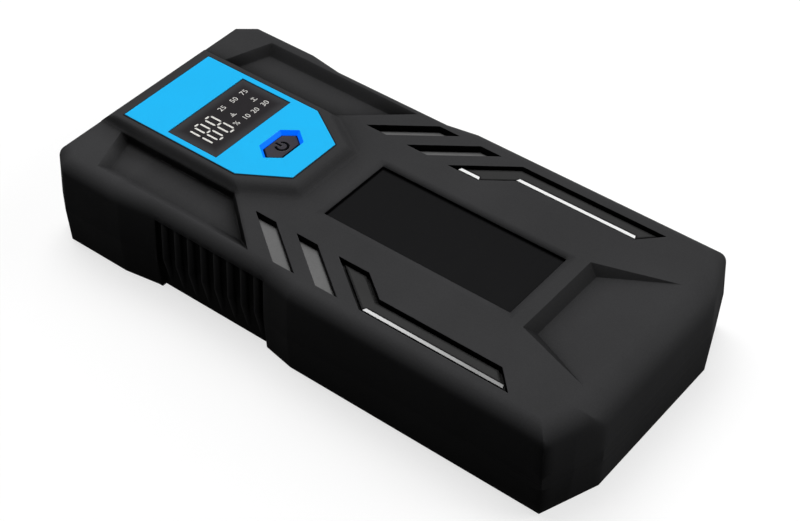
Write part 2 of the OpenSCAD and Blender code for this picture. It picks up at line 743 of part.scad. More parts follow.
module slot_insert(i) {
    color("#646464") translate([0, 0, insert_seat]) linear_extrude(insert_t) polygon(grow(slot_outline(i), -insert_gap));
}

module right_insert_1() { mirror([0, 1, 0]) slot_insert(0); }
module right_insert_2() { mirror([0, 1, 0]) slot_insert(1); }
module left_insert_1() { slot_insert(0); }
module left_insert_2() { slot_insert(1); }

// Base plate of the channel with the raised bar on it, for the +Y side
module channel_bar_form() {
    translate([0, 0, insert_seat]) linear_extrude(insert_t) polygon(grow(channel_outline, -insert_gap));
    translate([0, 0, insert_seat]) linear_extrude(bar_top - insert_seat) polygon(bar_outline);
}

// Strip along the edge of a bar from point a to point b, lying inside the bar
module edge_strip(a, b) {
    along = unit(b - a);
    inside = -outward(a, b) * strip_w;
    translate([0, 0, bar_top - strip_t]) linear_extrude(strip_t)
        polygon([a, b, b + inside - along * strip_w * 0.4, a + inside + along * strip_w * 0.4]);
}

module right_strip_form() {
    mirror([0, 1, 0]) edge_strip(bar_outline[4], bar_outline[5]);
}

module right_channel_bar() {
    color("#444444") difference() {
        mirror([0, 1, 0]) channel_bar_form();
        right_strip_form();
    }
}

module left_channel_bar() {
    color("#444444") difference() {
        channel_bar_form();
        edge_strip(bar_outline[0], bar_outline[1]);
        edge_strip(bar_outline[2], bar_outline[3]);
    }
}

module right_edge_strip() { color("#e6e6e6") right_strip_form(); }
module left_short_strip() { color("#f2f2f2") edge_strip(bar_outline[0], bar_outline[1]); }
module left_long_strip() { color("#f2f2f2") edge_strip(bar_outline[2], bar_outline[3]); }

module main_board() {
    color("#1c5c38") difference() {
        block([board_x, -board_half_w, main_board_z], [board_x + main_board_l, board_half_w, board_top]);
        for (p = board_holes) translate([p.x, p.y, 0]) cylinder(h = board_top + 1, r = board_screw_r + 0.3);
    }
}

module board_screws() {
    color("#9a9c9e") for (p = board_holes) translate([p.x, p.y, board_top]) {
        cylinder(h = board_screw_head[1], r = board_screw_head[0]);
        translate([0, 0, -board_t - board_bite]) cylinder(h = board_t + board_bite, r = board_screw_r);
    }
}

module power_relay() {
    color("#2c4a86") translate([board_x + 23, 6 - board_half_w, board_top])
        cube([relay_size.x, relay_size.y, headroom - 2.2]);
}

module capacitors() {
    color("#333a52") for (y = [9, 19.5]) translate([board_x + 18, y - board_half_w, board_top])
        cylinder(h = headroom - 3.2, r = capacitor_r);
}

module inductor() {
    color("#8a4a22") translate([board_x + 34, 25 - board_half_w, board_top + inductor_r[1]])
        rotate_extrude() translate([inductor_r[0], 0]) circle(r = inductor_r[1]);
}

module heat_sink() {
    base = 2;
    fin = 1;
    pitch = (heat_sink_size.y - fin) / (fin_count - 1);
    color("#b4b8bc") translate([board_x + 21, board_half_w - 3.5 - heat_sink_size.y, board_top]) {
        cube([heat_sink_size.x, heat_sink_size.y, base]);
        for (i = [0:fin_count - 1]) translate([0, i * pitch, base]) cube([heat_sink_size.x, fin, headroom / 2]);
    }
}

// Pouch cell i with its two tabs
module pouch_cell(i) {
    z = cell_z[i];
    color("#b8bcc4") block([cell_x, -cell_half_w, z], [cell_end, cell_half_w, z + cell_t]);
    color("#d4d4d0") for (s = [-1, 1])
        block([tab_x, s * tab_y - tab.y / 2, z + cell_t / 2], [cell_x, s * tab_y + tab.y / 2, z + cell_t / 2 + tab.z]);
}

module cell_1() { pouch_cell(0); }
module cell_2() { pouch_cell(1); }
module cell_3() { pouch_cell(2); }

module foam_pad(z, t) {
    color("#505458") block([cell_x + 2, 2 - cell_half_w, z], [cell_end - 2, cell_half_w - 2, z + t]);
}

module lower_pad() { foam_pad(floor_t, pad_t); }
module upper_pad() { foam_pad(cell_z[2] + cell_t, ceiling_z - cell_z[2] - cell_t); }

// Strip that joins the tabs of two neighbouring cells
module series_link(lower, s) {
    z0 = cell_z[lower] + cell_t / 2;
    z1 = cell_z[lower + 1] + cell_t / 2 + tab.z;
    color("#c8ccc8") block([tab_x - link_t, s * tab_y - tab.y / 2, z0], [tab_x, s * tab_y + tab.y / 2, z1]);
}

module series_link_1() { series_link(0, 1); }
module series_link_2() { series_link(1, -1); }

// Copper bar from a cell tab to the end of a power lead
module bus_bar(tab_z, from_y, to_y) {
    low = min(tab_z, socket_z - lead_r - 0.5);
    high = max(tab_z + tab.z, socket_z + lead_r + 0.5);
    color("#c87840") {
        block([bus_x, min(from_y - tab.y / 2, to_y - lead_r), low],
            [bus_x + bus_t, max(from_y + tab.y / 2, to_y + lead_r), high]);
        block([bus_x + bus_t, from_y - tab.y / 2, tab_z], [tab_x, from_y + tab.y / 2, tab_z + tab.z]);
    }
}

module bus_bar_plus() { bus_bar(cell_z[2] + cell_t / 2, tab_y, contact_y[0]); }
module bus_bar_minus() { bus_bar(cell_z[0] + cell_t / 2, -tab_y, contact_y[1]); }
module lead_plus() { color("#c02418") rod(contact_back, bus_x, contact_y[0], socket_z, lead_r); }
module lead_minus() { color("#181818") rod(contact_back, bus_x, contact_y[1], socket_z, lead_r); }

module jump_socket() {
    color("#2454a8") difference() {
        block([jump_face, jump_y - jump_size.y / 2, socket_z - jump_h / 2],
            [contact_back, jump_y + jump_size.y / 2, socket_z + jump_h / 2]);
        for (y = contact_y) rod(jump_face - 1, contact_back + 1, y, socket_z, contact_out + fit_gap / 2);
    }
}

module contact_tube(y) {
    color("#c8a440") difference() {
        rod(contact_front, contact_back, y, socket_z, contact_out);
        rod(contact_front - 1, contact_front + contact_l, y, socket_z, contact_r);
    }
}

module contact_plus() { contact_tube(contact_y[0]); }
module contact_minus() { contact_tube(contact_y[1]); }

module dust_cover() {
    color("#1e1e1e") translate([cover_x, jump_y - cover_w / 2, hinge_z]) {
        translate([0, 0, -cover_h]) cube([cover_t, cover_w, cover_h]);
        translate([cover_t / 2, 0, 0]) rotate([-90, 0, 0]) cylinder(h = cover_w, r = cover_t / 2);
        translate([cover_t / 2, -stub_l, 0]) rotate([-90, 0, 0]) cylinder(h = cover_w + 2 * stub_l, r = stub_r);
    }
}

module usb_port() {
    color("#b8bcc0") difference() {
        block([usb_face, usb_y - usb_size.y / 2, board_top], [usb_face + usb_size.x, usb_y + usb_size.y / 2, board_top + usb_h]);
        for (z = usb_levels) block([usb_face - 1, usb_y - usb_mouth.x / 2, z - usb_mouth.y / 2],
            [usb_face + usb_size.x - usb_shell, usb_y + usb_mouth.x / 2, z + usb_mouth.y / 2]);
    }
}

module usb_tongues() {
    color("#2468c8") for (z = usb_levels) block([usb_face + 1, usb_y - usb_tongue.x / 2, z],
        [usb_face + usb_size.x - usb_shell, usb_y + usb_tongue.x / 2, z + usb_tongue.y]);
}

// Barrel jack with its centre pin
module barrel_jack(y) {
    behind = nose_x + socket_wall;
    color("#1a1a1a") difference() {
        union() {
            rod(jack_face, behind + 1, y, jack_z, jack_collar);
            block([behind, y - jack_size.y / 2, board_top], [behind + jack_size.x, y + jack_size.y / 2, jack_z + jack_collar + 1]);
        }
        rod(jack_face - 1, jack_face + jack_depth, y, jack_z, jack_r);
    }
    color("#d0d0cc") rod(jack_face + 1, jack_face + jack_depth + 1, y, jack_z, jack_pin_r);
}

module output_jack() { barrel_jack(jack_y[0]); }
module input_jack() { barrel_jack(jack_y[1]); }

module torch_lens() {
    color("#dfe6ea") rod(torch_face, torch_face + torch_lens_t, torch_y, socket_z, torch_r);
}

// Reflector bowl: a paraboloid with a flat seat for the lamp
module torch_reflector() {
    rim = torch_r - torch_seat - fit_gap;
    seat = 1.6;
    skin = 0.5;
    steps = 8;
    curve = [for (k = [0:steps]) let (r = mix(rim - skin, seat, k / steps))
        [r, torch_depth * (1 - pow((r - seat) / (rim - skin - seat), 2))]];
    color("#d4d8dc") translate([torch_face + torch_lens_t, torch_y, socket_z]) rotate([0, 90, 0]) difference() {
        cylinder(h = torch_depth, r = rim);
        rotate_extrude() polygon(concat([[0, -1], [rim - skin, -1]], curve, [[0, torch_depth]]));
        translate([0, 0, torch_depth - 1]) cylinder(h = 2, r = seat);
    }
}

module torch_led() {
    x = torch_face + torch_lens_t + torch_depth;
    color("#e8e4b0") {
        block([x, torch_y - lamp_size[1] / 2, socket_z - lamp_size[1] / 2],
            [x + lamp_size[0], torch_y + lamp_size[1] / 2, socket_z + lamp_size[1] / 2]);
        block([x - 0.6, torch_y - 1, socket_z - 1], [x, torch_y + 1, socket_z + 1]);
    }
}

module case_screws() {
    color("#88898c") for (p = screw_spots) translate([p.x, p.y, screw_seat]) {
        translate([0, 0, -screw_head[1]]) cylinder(h = screw_head[1], r = screw_head[0]);
        cylinder(h = part_h + 7 - screw_seat, r = screw_r);
    }
}

top_shell();
bottom_shell();
control_panel();
screen_lens();
display_module();
display_board();
display_screws();
display_header();
key_switch();
switch_plunger();
power_key();
name_plate();
right_insert_1();
right_insert_2();
left_insert_1();
left_insert_2();
right_channel_bar();
left_channel_bar();
right_edge_strip();
left_short_strip();
left_long_strip();
main_board();
board_screws();
power_relay();
capacitors();
inductor();
heat_sink();
cell_1();
cell_2();
cell_3();
lower_pad();
upper_pad();
series_link_1();
series_link_2();
bus_bar_plus();
bus_bar_minus();
lead_plus();
lead_minus();
jump_socket();
contact_plus();
contact_minus();
dust_cover();
usb_port();
usb_tongues();
output_jack();
input_jack();
torch_lens();
torch_reflector();
torch_led();
case_screws();
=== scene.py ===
import json
import math
from types import SimpleNamespace
import bmesh
import bpy
from mathutils import Matrix, Vector


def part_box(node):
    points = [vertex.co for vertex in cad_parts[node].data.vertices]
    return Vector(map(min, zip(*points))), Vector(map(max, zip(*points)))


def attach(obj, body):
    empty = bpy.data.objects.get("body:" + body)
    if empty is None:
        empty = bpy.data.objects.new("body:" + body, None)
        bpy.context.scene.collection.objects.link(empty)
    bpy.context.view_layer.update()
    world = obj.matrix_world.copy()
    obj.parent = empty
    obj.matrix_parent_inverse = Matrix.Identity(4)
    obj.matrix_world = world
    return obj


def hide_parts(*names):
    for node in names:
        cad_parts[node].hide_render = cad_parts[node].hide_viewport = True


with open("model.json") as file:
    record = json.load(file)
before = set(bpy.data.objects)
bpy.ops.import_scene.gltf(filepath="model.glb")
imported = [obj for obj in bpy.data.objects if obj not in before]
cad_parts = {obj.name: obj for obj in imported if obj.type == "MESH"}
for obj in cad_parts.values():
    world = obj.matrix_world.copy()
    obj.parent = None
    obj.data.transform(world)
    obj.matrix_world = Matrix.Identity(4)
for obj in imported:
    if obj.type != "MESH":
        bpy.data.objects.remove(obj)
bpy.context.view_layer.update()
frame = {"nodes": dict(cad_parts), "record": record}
MM = 0.001


def box_mm(node):
    """Lowest and highest corner of a CAD node, in millimetres."""
    low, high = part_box(node)
    return low / MM, high / MM


# ---------------------------------------------------------------- camera

# Solved from measured points of the photograph
CAMERA_PLACE = (0.23404, -0.2909, 0.3543)
AZIMUTH = math.radians(38.24)
ELEVATION = math.radians(42.83)
LENS = 81.19
SENSOR_WIDTH = 36


def make_camera():
    camera = bpy.data.objects.new("camera", bpy.data.cameras.new("camera"))
    bpy.context.scene.collection.objects.link(camera)
    camera.location = CAMERA_PLACE
    level = math.cos(ELEVATION)
    ahead = Vector((-math.sin(AZIMUTH) * level, math.cos(AZIMUTH) * level, -math.sin(ELEVATION)))
    camera.rotation_mode = "QUATERNION"
    camera.rotation_quaternion = ahead.to_track_quat("-Z", "Y")
    camera.data.sensor_width = SENSOR_WIDTH
    camera.data.lens = LENS
    camera.data.clip_start = 0.01
    camera.data.clip_end = 20
    bpy.context.scene.camera = camera


make_camera()


# ---------------------------------------------------------------- tools for materials

FLECK_SCALE = 2300       # dust-like flecks, per metre
SPARK_SCALE = 7000       # spark texture of a moulding tool, per metre
SPARK_COARSE = 1170      # its slower waves


def srgb(r, g, b):
    """Linear colour of an 8-bit screen colour."""
    def linear(c):
        c /= 255
        return c / 12.92 if c <= 0.04045 else ((c + 0.055) / 1.055) ** 2.4
    return (linear(r), linear(g), linear(b), 1)


class Surface:
    """A Principled material with its nodes; most methods return a socket."""

    def __init__(self, name):
        self.mat = bpy.data.materials.new(name)
        self.mat.use_nodes = True
        self.tree = self.mat.node_tree
        self.tree.nodes.clear()
        self.out = self.add("ShaderNodeOutputMaterial")
        self.shader = self.add("ShaderNodeBsdfPrincipled")
        self.link(self.shader.outputs[0], self.out.inputs["Surface"])
        self.place = self.add("ShaderNodeTexCoord").outputs["Object"]

    def add(self, kind, **settings):
        node = self.tree.nodes.new(kind)
        for key, value in settings.items():
            setattr(node, key, value)
        return node

    def link(self, a, b):
        self.tree.links.new(a, b)

    def put(self, socket, value):
        """Links a socket to a socket, or sets it to a plain value."""
        if hasattr(value, "node"):
            self.link(value, socket)
        else:
            socket.default_value = value

    # sums

    def math(self, kind, a, b=0.0):
        node = self.add("ShaderNodeMath", operation=kind)
        self.put(node.inputs[0], a)
        self.put(node.inputs[1], b)
        return node.outputs[0]

    def chain(self, kind, first, *others):
        for other in others:
            first = self.math(kind, first, other)
        return first

    def times(self, *values):
        return self.chain("MULTIPLY", *values)

    def plus(self, *values):
        return self.chain("ADD", *values)

    def minus(self, a, b):
        return self.math("SUBTRACT", a, b)

    def largest(self, *values):
        return self.chain("MAXIMUM", *values)

    def smallest(self, *values):
        return self.chain("MINIMUM", *values)

    def apart(self, a, b):
        """Distance between two values."""
        return self.math("ABSOLUTE", self.minus(a, b))

    def fit(self, value, low, high, to_low=0.0, to_high=1.0, smooth=False):
        """Maps low..high to to_low..to_high and holds it at the ends; low may be the larger."""
        node = self.add("ShaderNodeMapRange", clamp=True)
        if smooth:
            node.interpolation_type = "SMOOTHSTEP"
        self.put(node.inputs["Value"], value)
        node.inputs["From Min"].default_value = low
        node.inputs["From Max"].default_value = high
        node.inputs["To Min"].default_value = to_low
        node.inputs["To Max"].default_value = to_high
        return node.outputs[0]

    def shade(self, mask, factor):
        """Factor inside a mask, 1 outside."""
        return self.fit(mask, 0, 1, 1.0, factor)

    def outside(self, mask):
        return self.fit(mask, 1, 0)

    # colours

    def mix(self, factor, a, b):
        node = self.add("ShaderNodeMix", data_type="RGBA")
        self.put(node.inputs["Factor"], factor)
        self.put(node.inputs[6], a)
        self.put(node.inputs[7], b)
        return node.outputs[2]

    def scaled(self, colour, factor):
        """Colour times a grey factor."""
        node = self.add("ShaderNodeMix", data_type="RGBA", blend_type="MULTIPLY")
        node.inputs["Factor"].default_value = 1
        self.put(node.inputs[6], colour)
        self.put(node.inputs[7], factor)
        return node.outputs[2]

    # places and directions

    def axes(self):
        """Place along X, distance from the centre line and height, in millimetres, and 1 on the +Y side."""
        split = self.add("ShaderNodeSeparateXYZ")
        self.link(self.place, split.inputs[0])
        x, y, z = (self.times(split.outputs[k], 1 / MM) for k in range(3))
        return x, self.math("ABSOLUTE", y), z, self.fit(y, -1.0, 1.0)

    def true_normal(self):
        """Normal of the mesh face itself."""
        return self.add("ShaderNodeNewGeometry").outputs["True Normal"]

    def normal(self):
        return self.add("ShaderNodeNewGeometry").outputs["Normal"]

    def upward(self, normal):
        """How much a normal looks up, -1 to 1."""
        split = self.add("ShaderNodeSeparateXYZ")
        self.link(normal, split.inputs[0])
        return split.outputs["Z"]

    def facing(self, normal, way):
        """How much a normal looks along a fixed direction or another normal."""
        node = self.add("ShaderNodeVectorMath", operation="DOT_PRODUCT")
        self.link(normal, node.inputs[0])
        self.put(node.inputs[1], way)
        return node.outputs["Value"]

    def round_edges(self, radius):
        """Normal that rounds the edges to a radius in metres."""
        node = self.add("ShaderNodeBevel", samples=6)
        self.put(node.inputs["Radius"], radius)
        return node.outputs[0]

    def occlusion_shade(self, distance, power):
        """Grey factor that falls in recesses: painted shade from ambient occlusion."""
        node = self.add("ShaderNodeAmbientOcclusion", samples=10, only_local=True)
        node.inputs["Distance"].default_value = distance
        return self.math("POWER", node.outputs["AO"], power)

    def edge_mask(self, radius, low=0.004, high=0.10):
        """1 along sharp edges, 0 on flats."""
        turned = self.minus(1.0, self.facing(self.round_edges(radius), self.normal()))
        return self.fit(turned, low, high, smooth=True)

    # textures

    def noise(self, scale, detail=2.0, rough=0.5, stretch=None, distortion=0.0):
        place = self.place
        if stretch:
            mapping = self.add("ShaderNodeMapping")
            mapping.inputs["Scale"].default_value = stretch
            self.link(place, mapping.inputs[0])
            place = mapping.outputs[0]
        node = self.add("ShaderNodeTexNoise")
        self.link(place, node.inputs["Vector"])
        node.inputs["Scale"].default_value = scale
        node.inputs["Detail"].default_value = detail
        node.inputs["Roughness"].default_value = rough
        node.inputs["Distortion"].default_value = distortion
        return node.outputs["Fac"]

    def cells(self, scale):
        """Distance to the nearest of many scattered points."""
        node = self.add("ShaderNodeTexVoronoi")
        self.link(self.place, node.inputs["Vector"])
        node.inputs["Scale"].default_value = scale
        return node.outputs["Distance"]

    def around(self, value, spread):
        """Noise turned into a factor that stays within spread of 1."""
        return self.fit(value, 0.3, 0.7, 1 - spread, 1 + spread)

    def speckled(self, cloud, cloudy, flecked):
        """Tone of moulded plastic: faint flow clouds and flecks."""
        flecks = self.fit(self.noise(FLECK_SCALE, 1), 0.25, 0.75, 1 - flecked, 1 + flecked)
        return self.times(self.around(cloud, cloudy), flecks)

    def spark(self, fine=SPARK_SCALE, coarse=SPARK_COARSE):
        """Height of a tool's spark texture."""
        return self.plus(self.noise(fine, 3, 0.6), self.times(self.noise(coarse, 2), 0.6))

    def rubbed(self, radius):
        """Patches along the edges where hands and bags have rubbed."""
        return self.times(self.edge_mask(radius), self.fit(self.noise(160, 4, 0.65), 0.42, 0.62))

    def smudges(self, scale=55):
        return self.noise(scale, 5, 0.6, distortion=0.4)

    def fingered(self, smudge, clean, smeared):
        """Roughness of a smooth skin with smudges and hairlines."""
        hair = self.noise(900, 2, 0.6, stretch=(1, 0.03, 1))
        return self.plus(self.fit(smudge, 0.35, 0.7, clean, smeared), self.fit(hair, 0.6, 0.75, 0, 0.06))

    def bump(self, height, distance, normal=None, strength=1.0):
        node = self.add("ShaderNodeBump")
        node.inputs["Strength"].default_value = strength
        node.inputs["Distance"].default_value = distance
        self.link(height, node.inputs["Height"])
        if normal is not None:
            self.link(normal, node.inputs["Normal"])
        return node.outputs[0]

    def finish(self, colour, rough, normal, **sockets):
        self.put(self.shader.inputs["Base Color"], colour)
        self.put(self.shader.inputs["Roughness"], rough)
        self.link(normal, self.shader.inputs["Normal"])
        for key, value in sockets.items():
            self.put(self.shader.inputs[key.replace("_", " ")], value)
        return self.mat


# ---------------------------------------------------------------- materials

# Shape of the blue panel's tapered end, in millimetres
PANEL_TAPER = 13.8       # length of the taper
PANEL_TIP = 9.25         # half width of the blunt tip

# Places on the case, in millimetres
SEAM_Z = 12.0            # parting line of the two shells
SLOT_LEAN = 1.27         # run along X of the slots and pocket ends, for each millimetre outward
RIB_FLOOR = 39.95        # distance from the centre line to the recess behind the ribs
RIB_MIDDLE = 40.7        # and to the middle of a rib


def panel_distance(s, x, y):
    """Distance outside the panel's outline, in millimetres."""
    high = box_mm("control_panel")[1]
    taper = Vector((PANEL_TAPER, PANEL_TIP - high.y)).normalized()
    past_side = s.minus(y, high.y)
    past_taper = s.plus(s.times(s.minus(x, high.x - PANEL_TAPER), -taper.y), s.times(past_side, taper.x))
    return s.largest(past_side, s.minus(x, high.x), past_taper)


def mark_console(s, at):
    """Foot of the console, the side pockets and the end where the -Y pocket runs out."""
    above_pockets = s.fit(at.z, 25.0, 26.0)
    off_panel = panel_distance(s, at.x, at.y)
    slope = s.times(s.fit(off_panel, 0.5, 3.2, smooth=True), s.fit(off_panel, 8.5, 6.5))
    at.console = s.times(slope, s.fit(at.z, 28.9, 29.1), s.fit(at.y, 22.4, 21.4))
    before_slots = s.fit(s.minus(at.x, s.times(at.y, SLOT_LEAN)), -57.5, -59.5)
    at.pocket_plan = s.times(before_slots, s.fit(at.y, 21.4, 22.0))
    at.pocket = s.times(at.pocket_plan, above_pockets)
    # where the -Y pocket runs out; the case is painted lighter here
    run_out = s.times(s.fit(at.x, -62.0, -66.0), s.fit(at.y, 19.0, 23.0))
    at.run_out = s.times(s.outside(at.far_side), run_out, above_pockets)


def mark_plate(s, at):
    """Lip of the deck round the name plate, and the strip of deck along the plate's +Y side, where shade is
    painted.
    """
    low, high = box_mm("name_plate")
    on_deck = s.fit(at.z, 28.2, 28.4)
    past_end = s.minus(s.apart(at.x, (low.x + high.x) / 2), (high.x - low.x) / 2)
    past_side = s.minus(at.y, high.y)
    at.lip = s.times(s.fit(s.largest(past_end, past_side), 3.0, 2.0, smooth=True), on_deck)
    fading_out = s.times(s.fit(past_side, 0.1, 0.2), s.fit(past_side, 2.4, 0.4, smooth=True))
    at.beside = s.times(at.far_side, fading_out, s.fit(past_end, 0.6, -0.8, smooth=True), on_deck)


def mark_sunk_walls(s, at):
    """Sloping walls of the end pocket and of the +Y pocket, where shade is painted."""
    sloping = s.times(s.fit(s.upward(s.true_normal()), 0.97, 0.9), s.fit(at.z, 24.0, 24.5))
    end_pocket = s.times(s.fit(at.x, 46, 47), s.fit(at.x, 79, 78), s.fit(at.y, 31, 30))
    far_pocket = s.times(at.far_side, at.pocket_plan, s.fit(at.y, 38.2, 37.4), s.fit(at.x, -83, -81))
    at.sunk = s.times(sloping, s.largest(end_pocket, far_pocket))


def mark_sides(s, at):
    """Side and end walls, the ribbed waist in them, and the parting line."""
    below_deck = s.fit(at.z, 26.5, 24.0)
    at.ribs = s.times(s.fit(at.x, -50, -48), s.fit(at.x, -6.5, -8.5))
    at.waist = s.times(at.ribs, s.fit(at.z, 25, 24), s.fit(at.z, 0.3, 1.0), s.fit(at.y, 36.5, 37.5))
    at.wall = s.times(below_deck, s.shade(at.ribs, 0.45))
    at.tail = s.times(at.wall, s.fit(at.x, 66, 74))
    # side walls towards the tail, where shade is painted
    at.tail_side = s.times(below_deck, s.fit(at.x, -10, 15), s.fit(at.y, 39.5, 41.5))
    at.end_wall = s.times(s.fit(at.x, 84, 86), s.fit(at.y, 37, 34))
    at.off_seam = s.fit(s.apart(at.z, SEAM_Z), 1.6, 3.0, smooth=True)


def case_places(s):
    """Masks of places on the case, 1 inside and 0 outside, beside x, y and z, which are millimetres."""
    at = SimpleNamespace()
    at.x, at.y, at.z, at.far_side = s.axes()
    for mark in (mark_console, mark_plate, mark_sunk_walls, mark_sides):
        mark(s, at)
    return at


def case_tone_and_painted_shade(s, at, cloud, soft):
    """Grey factor of the case: clouds and flecks, with painted shade in recesses, between the ribs, on steep
    faces, on sloping pocket walls, beside the plate, on the side walls towards the tail and towards the base,
    and painted light where the -Y pocket runs out.
    """
    # painted shade in recesses, from ambient occlusion: wide over the case, narrow between the ribs
    wide, narrow = s.occlusion_shade(0.008, 6.0), s.occlusion_shade(0.0022, 5.0)
    recess_shade = s.plus(s.times(wide, s.outside(at.waist)), s.times(narrow, at.waist))
    # painted shade in the grooves between the ribs, and painted light on their crests
    rib_shade_and_light = s.fit(at.y, RIB_FLOOR, RIB_MIDDLE, 0.12, 1.25)
    painted_rib_shade = s.plus(s.outside(at.waist), s.times(rib_shade_and_light, at.waist))
    # painted shade: the walls darken towards the base, the end wall less
    low = s.largest(s.fit(at.z, 2, 26, 0.28, 1.0), s.times(at.end_wall, s.fit(at.z, 2, 26, 0.55, 1.0)))
    # painted shade on faces that turn away from straight up
    upright = s.fit(s.upward(soft), 0.12, 0.5, 0.85, 1.0, smooth=True)
    # painted shade on the sloping pocket walls, beside the plate and on the side walls towards the tail;
    # painted light where the -Y pocket runs out
    places = (s.shade(at.sunk, 0.55), s.shade(at.run_out, 1.15), s.shade(at.beside, 0.6),
              s.shade(at.tail_side, 0.8))
    return s.times(s.speckled(cloud, 0.07, 0.06), *places, painted_rib_shade, recess_shade, low, upright)


def case_radius(s, at):
    """Radius of the case's edges in metres: broad where the mould is rounded, fine at the seam."""
    broad = (s.times(at.console, 0.0026), s.times(at.pocket, 0.0014), s.times(at.lip, 0.0012),
             s.times(at.run_out, 0.0014), s.times(at.tail, 0.0035), s.times(at.wall, 0.0014))
    return s.times(s.plus(*broad, 0.0004), s.fit(at.off_seam, 0, 1, 0.1, 1))


def shell(name, colour):
    """Case plastic: spark texture, broad soft edges where the mould is rounded, and rubbed sharp ones."""
    s = Surface(name)
    at = case_places(s)
    soft = s.round_edges(case_radius(s, at))
    cloud = s.noise(28, 4, 0.55)
    # the case's tone carries painted shade and painted light
    base = s.scaled(colour, case_tone_and_painted_shade(s, at, cloud, soft))
    on_ribs = s.times(at.ribs, s.fit(at.z, 24, 22))
    rubbed = s.times(s.rubbed(0.0005), s.fit(at.z, 2, 27), at.off_seam, s.shade(on_ribs, 0.3))
    base = s.mix(s.times(rubbed, 0.16), base, srgb(104, 104, 106))
    rough = s.minus(s.fit(cloud, 0.3, 0.7, 0.67, 0.57), s.times(rubbed, 0.12))
    return s.finish(base, rough, s.bump(s.spark(), 0.000018, soft), Specular_IOR_Level=0.04)


def moulded(name, colour, rough=0.6, spec=0.3, grain=(SPARK_SCALE, 0.00002), round_r=0.0005,
            wear=0.25, worn=(110, 110, 112)):
    """Moulded plastic: fine spark texture, faint flow clouds, flecks and rubbed edges."""
    s = Surface(name)
    cloud = s.noise(28, 4, 0.55)
    rubbed = s.rubbed(round_r)
    base = s.mix(s.times(rubbed, wear), s.scaled(colour, s.speckled(cloud, 0.10, 0.06)), srgb(*worn))
    roughness = s.minus(s.fit(cloud, 0.3, 0.7, rough + 0.05, rough - 0.05), s.times(rubbed, 0.12))
    normal = s.bump(s.spark(grain[0], grain[0] / 6), grain[1], s.round_edges(round_r))
    return s.finish(base, roughness, normal, Specular_IOR_Level=spec)


def blue_panel(name):
    """Satin panel with fine smudges; the funnel round the key is a deeper blue and glows with painted light;
    its edges are lighter from wear in patches and a painted highlight.
    """
    s = Surface(name)
    x, y = s.axes()[:2]
    key_low, key_high = box_mm("power_key")
    beside_key = s.fit(s.apart(x, (key_low.x + key_high.x) / 2), 8, 7)
    sloping = s.fit(s.upward(s.true_normal()), 0.995, 0.95)
    funnel = s.times(sloping, beside_key, s.fit(y, 9.5, 8.5))
    smudge = s.smudges()
    base = s.mix(funnel, s.scaled(srgb(27, 184, 246), s.around(smudge, 0.02)), srgb(0, 120, 255))
    # lighter edges, in patches: partly wear and partly a painted highlight
    rubbed = s.times(s.edge_mask(0.0003), s.fit(s.noise(240, 3, 0.6), 0.45, 0.62))
    base = s.mix(s.times(rubbed, 0.25), base, srgb(140, 214, 252))
    height = s.plus(s.noise(420, 2), s.times(s.noise(3500, 1), 0.15))
    normal = s.bump(height, 0.000006, s.round_edges(0.0003))
    # the funnel's emission is painted light: the panel is no lamp
    return s.finish(base, s.fingered(smudge, 0.42, 0.52), normal, Specular_IOR_Level=0.05,
                    Emission_Color=s.scaled(srgb(0, 84, 222), funnel), Emission_Strength=0.8)


def smoked_screen(name):
    """Smoked window: a lighter printed border round a dark middle, a thin rim of painted shade at its edge,
    with smudges and hairlines.
    """
    s = Surface(name)
    x, y = s.axes()[:2]
    low, high = box_mm("screen_lens")
    inset = s.smallest(s.minus(x, low.x), s.minus(high.x, x), s.minus(high.y, y))
    smudge = s.smudges(70)
    base = s.mix(s.fit(inset, 0.4, 3.6, smooth=True), srgb(58, 58, 60), srgb(40, 38, 40))
    # thin dark rim at the very edge: painted shade of the gap round the window
    base = s.mix(s.fit(inset, 0.25, 0.1), base, srgb(20, 22, 26))
    base = s.scaled(base, s.around(smudge, 0.05))
    normal = s.bump(s.noise(420, 2), 0.000006, s.round_edges(0.0002))
    return s.finish(base, s.fingered(smudge, 0.3, 0.42), normal, Specular_IOR_Level=0.03)


def name_plate(name):
    """Bare dark plate, smudged, with a painted shadow along its -X and +Y edges, under the deck's lip."""
    s = Surface(name)
    x, y, _, far_side = s.axes()
    low, high = box_mm("name_plate")
    # painted shadow of the deck's lip along the -X and +Y edges
    off_nose_end = s.fit(s.minus(x, low.x), 0.35, 0.6)
    off_far_edge = s.largest(s.fit(s.minus(high.y, y), 0.45, 0.75), s.outside(far_side))
    smudge = s.smudges()
    tone = s.times(s.around(smudge, 0.05), s.fit(s.times(off_nose_end, off_far_edge), 0, 1, 0.08, 1))
    normal = s.bump(s.noise(420, 2), 0.000008, s.round_edges(0.0003))
    base = s.scaled(srgb(20, 20, 21), tone)
    return s.finish(base, s.fingered(smudge, 0.39, 0.50), normal, Specular_IOR_Level=0.02)


def key_face(name):
    """Key: spark texture; its near and right edges are painted with shade where they roll off into the gap.
    """
    s = Surface(name)
    cloud = s.noise(90, 4, 0.55)
    # painted shade on faces that look towards +X and -Y
    near_side_shade = s.fit(s.facing(s.normal(), (0.5, -0.87, 0)), 0.08, 0.3, 1.0, 0.08)
    base = s.scaled(srgb(56, 53, 58), s.times(s.speckled(cloud, 0.05, 0.05), near_side_shade))
    rough = s.fit(cloud, 0.3, 0.7, 0.6, 0.5)
    return s.finish(base, rough, s.bump(s.spark(), 0.000015), Specular_IOR_Level=0.08)


